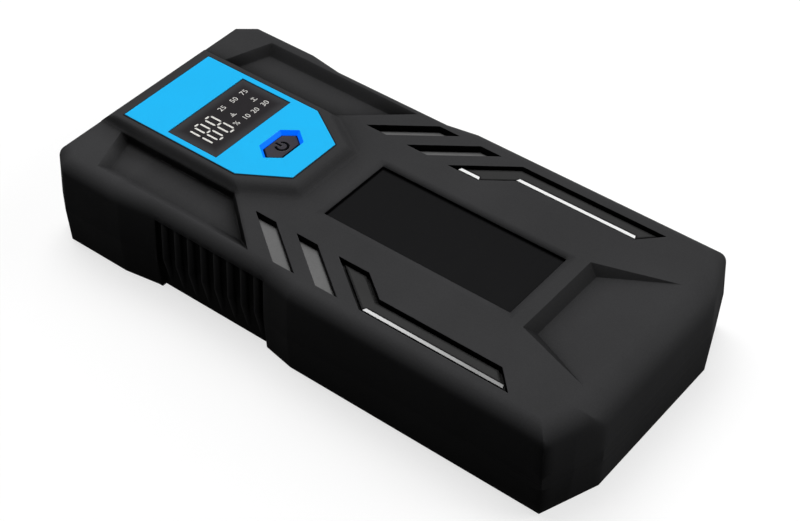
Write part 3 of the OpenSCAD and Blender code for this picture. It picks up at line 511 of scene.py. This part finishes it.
def slot_filler(name, colour, rim, dark=(0.86, 0.97), glow=0.0):
    """Insert in a slot: spark texture, and a painted shade where its rounded edge drops into the gap; glow
    adds a faint glow that is painted light.
    """
    s = Surface(name)
    cloud = s.noise(60, 4, 0.55)
    # painted shade where the rounded edge turns down into the gap
    flat = s.fit(s.upward(s.round_edges(rim)), *dark, 0.04, 1.0)
    base = s.scaled(colour, s.times(s.speckled(cloud, 0.05, 0.05), flat))
    normal = s.bump(s.spark(), 0.000015, s.round_edges(0.0003))
    return s.finish(base, s.fit(cloud, 0.3, 0.7, 0.6, 0.5), normal, Specular_IOR_Level=0.05,
                    Emission_Color=base, Emission_Strength=glow)


def highlight_strip(name, reflection_fade=False):
    """Bright strip with a satin skin, its white a painted highlight, and a painted shadow along its -Y edge;
    where a painted reflection fades it, it darkens towards the tail.
    """
    s = Surface(name)
    x = s.axes()[0]
    grain = s.noise(1200, 3, 0.6, stretch=(0.1, 1, 1))
    # the strip's white stands for a highlight on a -Y-facing edge: painted highlight
    base = srgb(240, 240, 240)
    if reflection_fade:
        # painted reflection, dimming from x 16 to x 56
        base = s.mix(s.fit(x, 16, 56), srgb(228, 228, 228), srgb(136, 136, 136))
    # painted shadow along the -Y edge
    edge = s.fit(s.facing(s.round_edges(0.0003), (0, -1, 0)), 0.3, 0.5, 1.0, 0.06)
    base = s.scaled(base, s.times(s.fit(grain, 0.3, 0.7, 0.95, 1.03), edge))
    normal = s.bump(grain, 0.000006, s.round_edges(0.00012))
    return s.finish(base, s.fit(grain, 0.3, 0.7, 0.3, 0.42), normal, Specular_IOR_Level=0.3)


def glossy(name, colour, rough, spec=0.5, blotch=0.05, wear=0.15, **sockets):
    """Smooth plastic: slight orange peel, smudged gloss and fine hairlines."""
    s = Surface(name)
    smudge = s.smudges()
    rubbed = s.times(s.edge_mask(0.0003), s.fit(s.noise(240, 3, 0.6), 0.42, 0.6))
    base = s.mix(s.times(rubbed, wear), s.scaled(colour, s.around(smudge, blotch)), srgb(150, 150, 152))
    height = s.plus(s.noise(420, 2), s.times(s.noise(3500, 1), 0.1))
    normal = s.bump(height, 0.000008, s.round_edges(0.0003))
    roughness = s.fingered(smudge, rough - 0.03, rough + 0.08)
    return s.finish(base, roughness, normal, Specular_IOR_Level=spec, **sockets)


def metal(name, colour, rough=0.3, stretch=None, grain=(1500, 0.000006), tarnish=0.15, dark=(70, 66, 60)):
    """Bare or plated metal: drawn or brushed grain and patches of tarnish."""
    s = Surface(name)
    patch = s.noise(220, 4, 0.6)
    lines = s.noise(grain[0], 4, 0.6, stretch=stretch)
    base = s.mix(s.times(s.fit(patch, 0.45, 0.75), tarnish), colour, srgb(*dark))
    base = s.scaled(base, s.fit(lines, 0.3, 0.7, 0.9, 1.08))
    dulled = s.times(s.fit(patch, 0.5, 0.75), 0.15)
    roughness = s.plus(s.fit(lines, 0.3, 0.7, rough - 0.06, rough + 0.08), dulled)
    return s.finish(base, roughness, s.bump(lines, grain[1], s.round_edges(0.0002)), Metallic=1.0)


def board(name, colour):
    """Circuit board: solder mask over a pattern of tracks, with small tinned dots."""
    s = Surface(name)
    brick = s.add("ShaderNodeTexBrick")
    s.link(s.place, brick.inputs["Vector"])
    brick.inputs["Scale"].default_value = 260
    brick.inputs["Mortar Size"].default_value = 0.035
    brick.inputs["Color1"].default_value = (1, 1, 1, 1)
    brick.inputs["Color2"].default_value = (0.82, 0.82, 0.82, 1)
    brick.inputs["Mortar"].default_value = (1.6, 1.6, 1.6, 1)
    dot = s.fit(s.cells(420), 0.16, 0.13)
    base = s.mix(dot, s.scaled(colour, brick.outputs["Color"]), srgb(196, 196, 188))
    normal = s.bump(s.plus(brick.outputs["Fac"], dot), 0.00002, s.round_edges(0.0002), 0.7)
    return s.finish(base, s.fit(s.noise(80, 3), 0.3, 0.7, 0.28, 0.42), normal, Specular_IOR_Level=0.5)


def foamed(name, colour):
    """Closed-cell foam: small open pores in a soft ground."""
    s = Surface(name)
    pore = s.fit(s.cells(1800), 0.1, 0.5)
    # the pores are painted darker: painted shade in the hollows
    base = s.scaled(colour, s.fit(pore, 0, 1, 0.55, 1.1))
    return s.finish(base, 0.95, s.bump(pore, 0.00008), Specular_IOR_Level=0.1)


def coil(name, colour, turns=46):
    """Enamelled wire wound close round a ring."""
    s = Surface(name)
    low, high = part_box("inductor")
    mapping = s.add("ShaderNodeMapping")
    mapping.inputs["Location"].default_value = -(low + high) / 2
    s.link(s.place, mapping.inputs[0])
    angle = s.add("ShaderNodeTexGradient", gradient_type="RADIAL")
    s.link(mapping.outputs[0], angle.inputs[0])
    wire = s.math("SINE", s.times(angle.outputs["Fac"], 2 * math.pi * turns))
    # painted shade in the dark lines between the turns, and painted light on their crowns
    base = s.scaled(colour, s.fit(wire, -1, 0.4, 0.25, 1.1))
    return s.finish(base, 0.3, s.bump(wire, 0.00012), Coat_Weight=0.5, Coat_Roughness=0.15)


MATERIALS = {}


def add_material(kind, name, *settings, **more):
    MATERIALS[name] = kind(name, *settings, **more)


add_material(shell, "shell_upper", srgb(54, 54, 55))
# the lower shell is slightly darker than the upper one, a painted shade of the lower walls
add_material(shell, "shell_lower", srgb(52, 52, 53))
add_material(blue_panel, "panel_blue")
add_material(smoked_screen, "screen_smoke")
add_material(moulded, "display_face", srgb(226, 226, 226), 0.5, wear=0)
add_material(board, "circuit_board", srgb(24, 88, 52))
add_material(metal, "steel_screw", srgb(150, 152, 154), 0.35)
add_material(moulded, "black_part", srgb(30, 30, 32), 0.55)
add_material(moulded, "switch_cap", srgb(214, 214, 208), 0.45, worn=(240, 240, 236))
add_material(key_face, "key_grey")
add_material(name_plate, "plate_gloss")
# the inserts glow faintly, painted light
add_material(slot_filler, "insert_grey", srgb(98, 98, 98), 0.001, glow=0.3)
add_material(slot_filler, "bar_dark", srgb(52, 52, 52), 0.0013, dark=(0.92, 0.985))
add_material(highlight_strip, "strip_bright")
add_material(moulded, "relay_blue", srgb(40, 72, 130), 0.4, worn=(110, 140, 190))
add_material(glossy, "capacitor_sleeve", srgb(46, 54, 82), 0.25)
add_material(coil, "copper_coil", srgb(160, 84, 36))
add_material(metal, "heat_sink_metal", srgb(186, 190, 194), 0.32, stretch=(0.03, 1, 1))
add_material(metal, "cell_pouch", srgb(180, 184, 192), 0.38, grain=(700, 0.00002), tarnish=0.05)
add_material(foamed, "foam", srgb(78, 82, 86))
add_material(metal, "nickel_link", srgb(198, 200, 196), 0.25)
add_material(metal, "copper_bar", srgb(200, 122, 74), 0.28, tarnish=0.3, dark=(96, 52, 34))
add_material(moulded, "lead_red", srgb(190, 32, 22), 0.5, grain=(3000, 0.00001), worn=(220, 80, 70))
add_material(moulded, "lead_black", srgb(22, 22, 22), 0.5, grain=(3000, 0.00001))
add_material(moulded, "socket_blue", srgb(36, 84, 166), 0.42, 0.35, round_r=0.0004, worn=(96, 140, 210))
add_material(metal, "contact_gold", srgb(206, 166, 66), 0.22, dark=(120, 90, 40))
add_material(moulded, "cover_rubber", srgb(30, 30, 31), 0.8, 0.2, grain=(4500, 0.00004), wear=0.2,
             round_r=0.0006)
add_material(metal, "usb_metal", srgb(182, 186, 190), 0.26, stretch=(0.05, 1, 1))
add_material(moulded, "jack_black", srgb(26, 26, 27), 0.45)
add_material(glossy, "lens_clear", srgb(240, 243, 245), 0.06, wear=0.05, Transmission_Weight=1.0, IOR=1.49)
add_material(metal, "reflector_bright", srgb(214, 218, 222), 0.1, tarnish=0.03)
add_material(moulded, "led_yellow", srgb(232, 226, 160), 0.4, wear=0)


def dress_solids():
    """Gives every CAD node the material of its slot; the near strip gets a painted reflection that dims
    towards the tail.
    """
    for part in frame["record"]["subparts"]:
        slots = frame["nodes"][part["node"]].data.materials
        slots.clear()
        slots.append(MATERIALS[part["material_slot"]])
    frame["nodes"]["right_edge_strip"].data.materials[0] = highlight_strip("strip_painted_reflection", reflection_fade=True)


dress_solids()


def lit(name, colour, glow):
    """Lit segment or legend of the display."""
    return glossy(name, colour, 0.35, 0.2, wear=0, blotch=0.04, Emission_Color=colour, Emission_Strength=glow)


SEGMENT = lit("lit_segment", srgb(218, 216, 211), 0.12)
LEGEND = lit("lit_legend", srgb(206, 204, 200), 0.1)
# dark and light copies of the power mark: painted shade of a pressed groove and painted highlight on its rim
GROOVE_SHADE = moulded("pressed_mark_shade", srgb(5, 5, 6), 0.6, 0.02, wear=0)
MARK_HIGHLIGHT = moulded("mark_painted_highlight", srgb(84, 82, 84), 0.5, 0.05, wear=0)
# dark ring round the panel: painted shade of the gap
GAP_SHADE = moulded("panel_gap_shade", srgb(18, 18, 20), 0.7, 0.15, wear=0)


# ---------------------------------------------------------------- tools for pieces, in millimetres

def piece(name, bm, material, body="case", replaces=()):
    """Turns a finished mesh in millimetres into a piece that rides on a body."""
    bmesh.ops.recalc_face_normals(bm, faces=bm.faces)
    bmesh.ops.scale(bm, vec=(MM, MM, MM), verts=bm.verts)
    mesh = bpy.data.meshes.new(name)
    bm.to_mesh(mesh)
    bm.free()
    obj = bpy.data.objects.new(name, mesh)
    bpy.context.scene.collection.objects.link(obj)
    mesh.materials.append(material)
    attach(obj, body)
    if replaces:
        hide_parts(*replaces)


def skin(bm, rows):
    """Adds the faces between neighbouring rows of vertices; each row runs round a closed line."""
    n = len(rows[0])
    for a, b in zip(rows, rows[1:]):
        for i in range(n):
            bm.faces.new((a[i], a[(i + 1) % n], b[(i + 1) % n], b[i]))


def tube(bm, rows):
    """Adds a solid through rows of points with the same number of points, flat at both ends."""
    rows = [[bm.verts.new(point) for point in row] for row in rows]
    bm.faces.new(list(reversed(rows[0])))
    bm.faces.new(rows[-1])
    skin(bm, rows)


def loft(bm, rings):
    """Adds a solid through outlines at their heights, in order from one end to the other."""
    tube(bm, [[(x, y, z) for x, y in outline] for outline, z in rings])


def prism(bm, outline, z0, z1):
    loft(bm, [(outline, z0), (outline, z1)])


def ring(bm, inner, outer, z0, z1):
    """Adds an upright ring between two outlines with the same number of points."""
    lines = ((inner, z0), (inner, z1), (outer, z1), (outer, z0))
    rows = [[bm.verts.new((x, y, z)) for x, y in outline] for outline, z in lines]
    skin(bm, rows + rows[:1])


def corners(outline):
    """Each point of an outline with its neighbours before and after."""
    n = len(outline)
    return [tuple(Vector(outline[(i + step) % n]) for step in (-1, 0, 1)) for i in range(n)]


def grown(outline, reach):
    """Counterclockwise outline moved outward."""
    out = []
    for before, point, after in corners(outline):
        u, v = (point - before).normalized(), (after - point).normalized()
        across_u, across_v = Vector((u.y, -u.x)), Vector((v.y, -v.x))
        out.append(point + (across_u + across_v) * reach / (1 + across_u.dot(across_v)))
    return [(p.x, p.y) for p in out]


def rounded(outline, r, steps=5):
    """Outline with its corners turned into arcs of radius r."""
    out = []
    for before, point, after in corners(outline):
        u, v = (before - point).normalized(), (after - point).normalized()
        half = math.acos(max(-1, min(1, u.dot(v)))) / 2
        centre = point + (u + v).normalized() * r / math.sin(half)
        start, end = (point + way * r / math.tan(half) - centre for way in (u, v))
        out += [centre + start.lerp(end, k / steps).normalized() * r for k in range(steps + 1)]
    return [(p.x, p.y) for p in out]


def circle(cx, cy, r, n=40):
    turns = (2 * math.pi * k / n for k in range(n))
    return [(cx + r * math.cos(t), cy + r * math.sin(t)) for t in turns]


def oblong(x0, y0, x1, y1, r):
    """Rectangle with rounded corners."""
    return rounded([(x0, y0), (x1, y0), (x1, y1), (x0, y1)], r)


def facing_nose(bm, x):
    """Turns what was built upright so that it looks out of the socket end, with its base at x."""
    for v in bm.verts:
        v.co = Vector((x - v.co.z, v.co.x, v.co.y))


# ---------------------------------------------------------------- display; reads along +Y, its top towards -X

LENS_TOP = box_mm("screen_lens")[1].z
LIT_T = 0.02             # thickness of what is lit
DIGIT_TOP = -62.6
DIGIT_MIDDLE = -57.9
DIGIT_STROKE = 0.62
TIP_GAP = 0.36           # from the tip of a digit's stroke to the corner
ALL_STROKES = "abcdefg"
LABEL_SIZE = 2.6
ARROW_MIDDLE = -58.1
ARROW_STROKE = 0.3


def stroke(bm, a, b, width):
    """Adds a bar with pointed ends between two points."""
    along = (b - a).normalized() * width / 2
    side = Vector((-along.y, along.x))
    points = [a + along - side, b - along - side, b, b - along + side, a + along + side, a]
    prism(bm, [(p.x, p.y) for p in points], LENS_TOP, LENS_TOP + LIT_T)


def digit(bm, left, right, foot, keys):
    """Adds the named strokes of a seven-segment digit, which are lettered in the usual way."""
    ends = {"a": (DIGIT_TOP, left, DIGIT_TOP, right), "b": (DIGIT_TOP, right, DIGIT_MIDDLE, right),
            "c": (DIGIT_MIDDLE, right, foot, right), "d": (foot, left, foot, right),
            "e": (DIGIT_MIDDLE, left, foot, left), "f": (DIGIT_TOP, left, DIGIT_MIDDLE, left),
            "g": (DIGIT_MIDDLE, left, DIGIT_MIDDLE, right)}
    for key in keys:
        a, b = Vector(ends[key][:2]), Vector(ends[key][2:])
        gap = (b - a).normalized() * TIP_GAP
        stroke(bm, a + gap, b - gap, DIGIT_STROKE)


def label(bm, text, x, y):
    """Adds plain numerals, centred on (x, y)."""
    curve = bpy.data.curves.new("label", "FONT")
    curve.body = text
    curve.size = LABEL_SIZE
    curve.align_x, curve.align_y = "CENTER", "CENTER"
    curve.resolution_u = 3
    curve.extrude = LIT_T / 2
    holder = bpy.data.objects.new("label", curve)
    bpy.context.scene.collection.objects.link(holder)
    graph = bpy.context.evaluated_depsgraph_get()
    mesh = bpy.data.meshes.new_from_object(holder.evaluated_get(graph))
    place = Matrix.Translation((x, y, LENS_TOP + LIT_T / 2))
    mesh.transform(place @ Matrix.Rotation(math.pi / 2, 4, "Z"))
    bm.from_mesh(mesh)
    bpy.data.objects.remove(holder)
    bpy.data.curves.remove(curve)
    bpy.data.meshes.remove(mesh)


def arrow(bm, y, way):
    """Adds a small arrow over a bar; way is 1 for an arrow towards the bar and -1 for one away from it."""
    tip, tail = ARROW_MIDDLE + 0.7 * way, ARROW_MIDDLE - 0.7 * way
    barb, bar = tip - 0.55 * way, ARROW_MIDDLE + 0.9
    for x0, y0, x1, y1 in ((tail, 0, tip, 0), (tip, 0, barb, -0.6), (tip, 0, barb, 0.6), (bar, -1, bar, 1)):
        stroke(bm, Vector((x0, y + y0)), Vector((x1, y + y1)), ARROW_STROKE)


def display_digits():
    bm = bmesh.new()
    digit(bm, -14.0, -11.7, -53.1, "bc")
    digit(bm, -9.8, -7.5, -53.0, ALL_STROKES)
    digit(bm, -5.4, -3.0, -52.9, ALL_STROKES)
    piece("display_digits", bm, SEGMENT)


def display_legends():
    bm = bmesh.new()
    for text, x, y in (("25", -62.1, 1.7), ("50", -62.1, 6.8), ("75", -62.3, 11.3),
                       ("10", -54.0, 3.2), ("20", -54.0, 7.0), ("30", -54.0, 11.2), ("%", -54.2, -0.8)):
        label(bm, text, x, y)
    arrow(bm, 1.5, 1)
    arrow(bm, 10.6, -1)
    piece("display_legends", bm, LEGEND)


# ---------------------------------------------------------------- painted shade round the panel, and power key

KEY_X = sum(corner.x for corner in box_mm("power_key")) / 2
KEY_HALF_WIDTH = 3.3
KEY_SHOULDER = 3.9       # half length of its straight sides
KEY_TIP = 6.4            # half length over its points
KEY_CORNER = 0.7         # radius of its upright edges
KEY_ROLL = 0.45          # radius of the edge round its top
KEY_DISH = ((0.6, 0.01), (0.8, 0.03), (1.0, 0.045))     # inset from the side, depth below the top
FLANGE_T = 1.1
FLANGE_REACH = 0.999
MARK_RADII = (1.35, 2.15)
MARK_OPENING = 38        # half the angle that the mark's ring leaves open, in degrees
MARK_STEPS = 28


def panel_gap_shade():
    """Thin dark ring in the seam round the panel: painted shade standing in for the shadowed gap."""
    low, high = box_mm("control_panel")
    half = [(low.x, low.y), (high.x - PANEL_TAPER, low.y), (high.x, -PANEL_TIP)]
    outline = half + [(x, -y) for x, y in reversed(half)]
    bm = bmesh.new()
    ring(bm, grown(outline, 0.02), grown(outline, 0.42), high.z - 0.5, high.z - 0.16)
    piece("panel_gap_shade", bm, GAP_SHADE)


def key_outline(reach):
    left, right = KEY_X - KEY_HALF_WIDTH, KEY_X + KEY_HALF_WIDTH
    half = [(left, -KEY_SHOULDER), (KEY_X, -KEY_TIP), (right, -KEY_SHOULDER)]
    return grown(half + [(x, -y) for x, y in reversed(half)], reach)


def key_cap():
    """Key with a softly rounded, slightly dished face, on its flange."""
    low, high = box_mm("power_key")
    flange_top = low.z + FLANGE_T
    profile = [(0, high.z - flange_top), (0, KEY_ROLL)]
    for degrees in range(18, 91, 18):
        turn = math.radians(degrees)
        profile.append((KEY_ROLL * (1 - math.cos(turn)), KEY_ROLL * (1 - math.sin(turn))))
    bm = bmesh.new()
    loft(bm, [(rounded(key_outline(-inset), max(KEY_CORNER - inset, 0.08)), high.z - drop)
              for inset, drop in (*profile, *KEY_DISH)])
    prism(bm, key_outline(FLANGE_REACH), low.z, flange_top + 0.001)
    piece("key_cap", bm, MATERIALS["key_grey"], "key", ["power_key"])


def power_mark(name, material, shift, height):
    """Plain power mark on the key, an open ring and a stroke, up to a height over the dish."""
    x0, y0 = KEY_X + shift[0], 0.2 + shift[1]
    dish = box_mm("power_key")[1].z - KEY_DISH[-1][1]
    z0, z1 = dish - 0.02, dish + height
    bm = bmesh.new()
    rows = []
    for k in range(MARK_STEPS + 1):
        turn = math.radians(180 + MARK_OPENING + (360 - 2 * MARK_OPENING) * k / MARK_STEPS)
        rows.append([(x0 + r * math.cos(turn), y0 + r * math.sin(turn)) for r in MARK_RADII])
    for a, b in zip(rows, rows[1:]):
        prism(bm, [a[1], b[1], b[0], a[0]], z0, z1)
    line = [(-2.5, -0.36), (-0.2, -0.36), (-0.2, 0.36), (-2.5, 0.36)]
    prism(bm, [(x0 + x, y0 + y) for x, y in line], z0, z1)
    piece(name, bm, material, "key")


# ---------------------------------------------------------------- socket end

COVER_STUB = 1.1         # length of the stub at each end of the cover's hinge barrel
STUB_R = 0.7
# Outer edge of the lid, its raised frame and the sunken field: inset from the side, depth below the frame
LID_FRAME = ((0, 0.55), (0.15, 0.2), (0.45, 0.02), (0.7, 0), (1.5, 0), (1.75, 0.06), (2.0, 0.3), (2.3, 0.36))
RIDGES = 4
RIDGE_PITCH = 1.5
RIDGE_HALF_LENGTH = 7
TONGUE_T = 1.9
CONTACTS = ((-3.5, 0.5), (-1.1, 1.1), (1.1, 1.1), (3.5, 0.5))   # across the port, behind the tongue's tip
SPRING_L = 5.5
SPRING_BULGE = 0.4
SPRING_SPREAD = 3.1      # from the middle of the port to the middle of a leaf
SPRING_OFF = 2.55        # from a tongue's underside to the leaves over and under it
LENS_RINGS = 5


def cover_lid():
    """Dust cover: soft-edged lid with a raised frame, grip ridges and its hinge barrel."""
    low, high = box_mm("dust_cover")
    thick = high.x - low.x
    hinge_x, hinge_z = low.x + thick / 2, high.z - thick / 2
    middle, half = (low.y + high.y) / 2, (high.y - low.y) / 2 - COVER_STUB

    def lid(inset):
        return oblong(middle - half + inset, low.z + inset, middle + half - inset, hinge_z - inset, 0.9)

    bm = bmesh.new()
    back = [(0.25, 0), (0.05, 0.2), (0, 0.5)]
    loft(bm, [(lid(inset), height) for inset, height in back]
         + [(lid(inset), thick - drop) for inset, drop in LID_FRAME])
    for k in range(RIDGES):
        z = low.z + 3.2 + RIDGE_PITCH * k
        rings = []
        for swell, drop in ((0.12, 0.5), (0.08, 0.2), (0, 0.06), (-0.1, 0.01)):
            half_l, half_w = RIDGE_HALF_LENGTH + swell, 0.32 + swell
            outline = oblong(middle - half_l, z - half_w, middle + half_l, z + half_w, 0.25)
            rings.append((outline, thick - drop))
        loft(bm, rings)
    facing_nose(bm, high.x)
    for reach, r in ((half, thick / 2), (half + COVER_STUB, STUB_R)):
        rows = []
        for y, radius in ((-reach, 0.8 * r), (-reach + 0.2 * r, r), (reach - 0.2 * r, r), (reach, 0.8 * r)):
            rows.append([(x, middle + y, z) for x, z in circle(hinge_x, hinge_z, radius, 28)])
        tube(bm, rows)
    piece("cover_lid", bm, MATERIALS["cover_rubber"], "cover", ["dust_cover"])


def usb_levels():
    """Heights of the two tongues' undersides."""
    low, high = box_mm("usb_tongues")
    return low.z, high.z - TONGUE_T


def usb_middle():
    low, high = box_mm("usb_port")
    return (low.y + high.y) / 2


def usb_contacts():
    """Plated contacts under each tongue."""
    tip = box_mm("usb_tongues")[0].x
    bm = bmesh.new()
    for level in usb_levels():
        for across, behind in CONTACTS:
            x, y = tip + behind, usb_middle() + across
            prism(bm, oblong(x, y - 0.5, x + 7.5, y + 0.5, 0.2), level - 0.1, level + 0.02)
    piece("usb_contacts", bm, MATERIALS["contact_gold"])


def spring_leaf(bm, x, y, z, way):
    """Adds a tapering leaf that bulges up (way 1) or down (way -1)."""
    rows = []
    for k in range(9):
        t = k / 8
        bulge = SPRING_BULGE * math.sin(math.pi * t) ** 2
        half = 1.1 - 0.3 * t
        section = ((-half, -0.02), (half, -0.02), (half, 0.13), (-half, 0.13))
        rows.append([(x + SPRING_L * t, y + across, z + (bulge + lift) * way) for across, lift in section])
    tube(bm, rows)


def usb_springs():
    """Spring leaves in the floor and roof of each USB mouth."""
    front = box_mm("usb_port")[0].x + 1.0
    bm = bmesh.new()
    for level in usb_levels():
        for y in (usb_middle() - SPRING_SPREAD, usb_middle() + SPRING_SPREAD):
            spring_leaf(bm, front, y, level - SPRING_OFF, 1)
            spring_leaf(bm, front, y, level + SPRING_OFF, -1)
    piece("usb_springs", bm, MATERIALS["usb_metal"])


def torch_glass():
    """Torch lens: a ringed disc with a plain rim."""
    low, high = box_mm("torch_lens")
    middle = ((low.y + high.y) / 2, (low.z + high.z) / 2)
    r, thick = (high.y - low.y) / 2, high.x - low.x
    profile = [(0, thick), (0, 0.3), (0.12, 0.08), (0.35, 0), (0.75, 0)]
    for k in range(LENS_RINGS):
        groove = 0.8 + 0.75 * k
        profile += [(groove, 0.22), (groove + 0.35, 0.16), (groove + 0.68, 0.03)]
    bm = bmesh.new()
    loft(bm, [(circle(*middle, r - inset), thick - drop) for inset, drop in profile])
    facing_nose(bm, high.x)
    piece("torch_glass", bm, MATERIALS["lens_clear"], replaces=["torch_lens"])


# ---------------------------------------------------------------- case screws, seen from below

# Places of the solid screws' axes
SCREW_PLACES = [(x, y) for x in (-67.8, 7.2, 76.0) for y in (-35.765, 35.765)]
CROSS_HALF_WIDTH = 0.38
CROSS_REACH = 1.55
HEAD_PROFILE = ((1.45, 2.0), (2.7, 1.95), (2.7, 0.7), (2.5, 0.3), (2.1, 0.07), (1.75, 0))    # radius, height
RECESS = ((CROSS_REACH, 1.0, 0), (1.3, 0.85, 0.5), (0.9, 0.5, 1.1))     # reach, scale, depth


def screw_ring(centre, cross, distance):
    """Points round a screw at the angles of a cross's corners, as far out as distance(turn, corner) says."""
    corner, eighth = math.atan2(CROSS_HALF_WIDTH, cross), math.pi / 4
    out = []
    for quarter in range(4):
        for turn in (-corner, 0, corner, (corner + eighth) / 2, eighth, (3 * eighth - corner) / 2):
            reach, angle = distance(turn, corner), turn + quarter * math.pi / 2
            out.append((centre[0] + reach * math.cos(angle), centre[1] + reach * math.sin(angle)))
    return out


def round_ring(centre, r):
    return screw_ring(centre, CROSS_REACH, lambda turn, corner: r)


def cross_ring(centre, cross, size):
    """Outline of a cross, scaled by size."""
    def distance(turn, corner):
        if abs(turn) <= corner:
            return size * cross / math.cos(turn)
        if turn <= math.pi / 4:
            return size * CROSS_HALF_WIDTH / math.sin(turn)
        return size * CROSS_HALF_WIDTH / math.cos(turn)
    return screw_ring(centre, cross, distance)


def crossed_screws():
    """Shanks under domed heads with a cross recess."""
    low, high = box_mm("case_screws")
    bm = bmesh.new()
    for centre in SCREW_PLACES:
        rings = [(round_ring(centre, HEAD_PROFILE[0][0]), high.z)]
        rings += [(round_ring(centre, r), low.z + height) for r, height in HEAD_PROFILE]
        rings += [(cross_ring(centre, cross, size), low.z + depth) for cross, size, depth in RECESS]
        loft(bm, rings)
    piece("crossed_screws", bm, MATERIALS["steel_screw"], replaces=["case_screws"])


display_digits()
display_legends()
panel_gap_shade()
key_cap()
# the light copy, offset towards +X and -Y, is a painted highlight on the rim of a pressed groove; the dark
# mark over it is the groove's painted shade
power_mark("key_mark_highlight", MARK_HIGHLIGHT, (0.22, -0.1), 0.008)
power_mark("key_mark", GROOVE_SHADE, (0, 0), 0.02)
cover_lid()
usb_contacts()
usb_springs()
torch_glass()
crossed_screws()


# ---------------------------------------------------------------- stage and light

WHITE = (1, 1, 1, 1)
MIRRORED = 0.22          # share of the white surroundings that gloss picks up
FLOOR_HALF = 3
FLOOR_DROP = 0.00005     # keeps the floor clear of the base
FLOOR_GLOW = 0.70        # lifts the floor that the camera sees to white
ROOM_GLOW = 0.06         # light of the surroundings on the case


def diffuse(s, grey):
    node = s.add("ShaderNodeBsdfDiffuse")
    node.inputs["Color"].default_value = (grey, grey, grey, 1)
    return node.outputs[0]


def plain_floor():
    """White where it is seen, less so in gloss, and dim as a source of light."""
    s = Surface("floor")
    s.tree.nodes.remove(s.shader)
    glow = s.add("ShaderNodeEmission")
    glow.inputs["Color"].default_value = WHITE
    glow.inputs["Strength"].default_value = FLOOR_GLOW
    white = s.add("ShaderNodeAddShader")
    s.link(diffuse(s, 0.34), white.inputs[0])
    s.link(glow.outputs[0], white.inputs[1])
    rays = s.add("ShaderNodeLightPath").outputs
    mirrored = s.times(rays["Is Glossy Ray"], MIRRORED)
    choose = s.add("ShaderNodeMixShader")
    s.link(s.largest(rays["Is Camera Ray"], rays["Is Transmission Ray"], mirrored), choose.inputs[0])
    s.link(diffuse(s, 0.06), choose.inputs[1])
    s.link(white.outputs[0], choose.inputs[2])
    s.link(choose.outputs[0], s.out.inputs["Surface"])
    return s.mat


def make_floor():
    bm = bmesh.new()
    bmesh.ops.create_grid(bm, x_segments=8, y_segments=8, size=FLOOR_HALF)
    mesh = bpy.data.meshes.new("floor")
    bm.to_mesh(mesh)
    bm.free()
    floor = bpy.data.objects.new("floor", mesh)
    floor.location.z = -FLOOR_DROP
    bpy.context.scene.collection.objects.link(floor)
    mesh.materials.append(plain_floor())


def softbox(name, place, size, power):
    """Square area light that looks at the middle of the base."""
    light = bpy.data.lights.new(name, "AREA")
    light.shape = "SQUARE"
    light.size = size
    light.energy = power
    obj = bpy.data.objects.new(name, light)
    obj.location = place
    obj.rotation_mode = "QUATERNION"
    obj.rotation_quaternion = (-Vector(place)).to_track_quat("-Z", "Y")
    bpy.context.scene.collection.objects.link(obj)


def make_world():
    """White where it is seen, less so in gloss, and dim as a source of light."""
    world = bpy.data.worlds.new("studio")
    world.use_nodes = True
    tree = world.node_tree
    tree.nodes.clear()
    rays = tree.nodes.new("ShaderNodeLightPath").outputs
    seen = rays["Is Camera Ray"]
    for kind, share in (("Is Glossy Ray", MIRRORED), ("Is Transmission Ray", 1.0)):
        node = tree.nodes.new("ShaderNodeMath")
        node.operation = "MULTIPLY_ADD"
        tree.links.new(rays[kind], node.inputs[0])
        node.inputs[1].default_value = share
        tree.links.new(seen, node.inputs[2])
        seen = node.outputs[0]
    choose = tree.nodes.new("ShaderNodeMixShader")
    tree.links.new(seen, choose.inputs[0])
    for place, strength in ((1, ROOM_GLOW), (2, 1.0)):
        shade = tree.nodes.new("ShaderNodeBackground")
        shade.inputs["Color"].default_value = WHITE
        shade.inputs["Strength"].default_value = strength
        tree.links.new(shade.outputs[0], choose.inputs[place])
    out = tree.nodes.new("ShaderNodeOutputWorld")
    tree.links.new(choose.outputs[0], out.inputs["Surface"])
    bpy.context.scene.world = world


make_floor()
softbox("softbox_top", (-0.5, 0.34, 1.44), 1.2, 23)
softbox("softbox_side", (1.08, 0.95, 0.7), 1.0, 12)
make_world()
bpy.context.scene.view_settings.view_transform = "Standard"
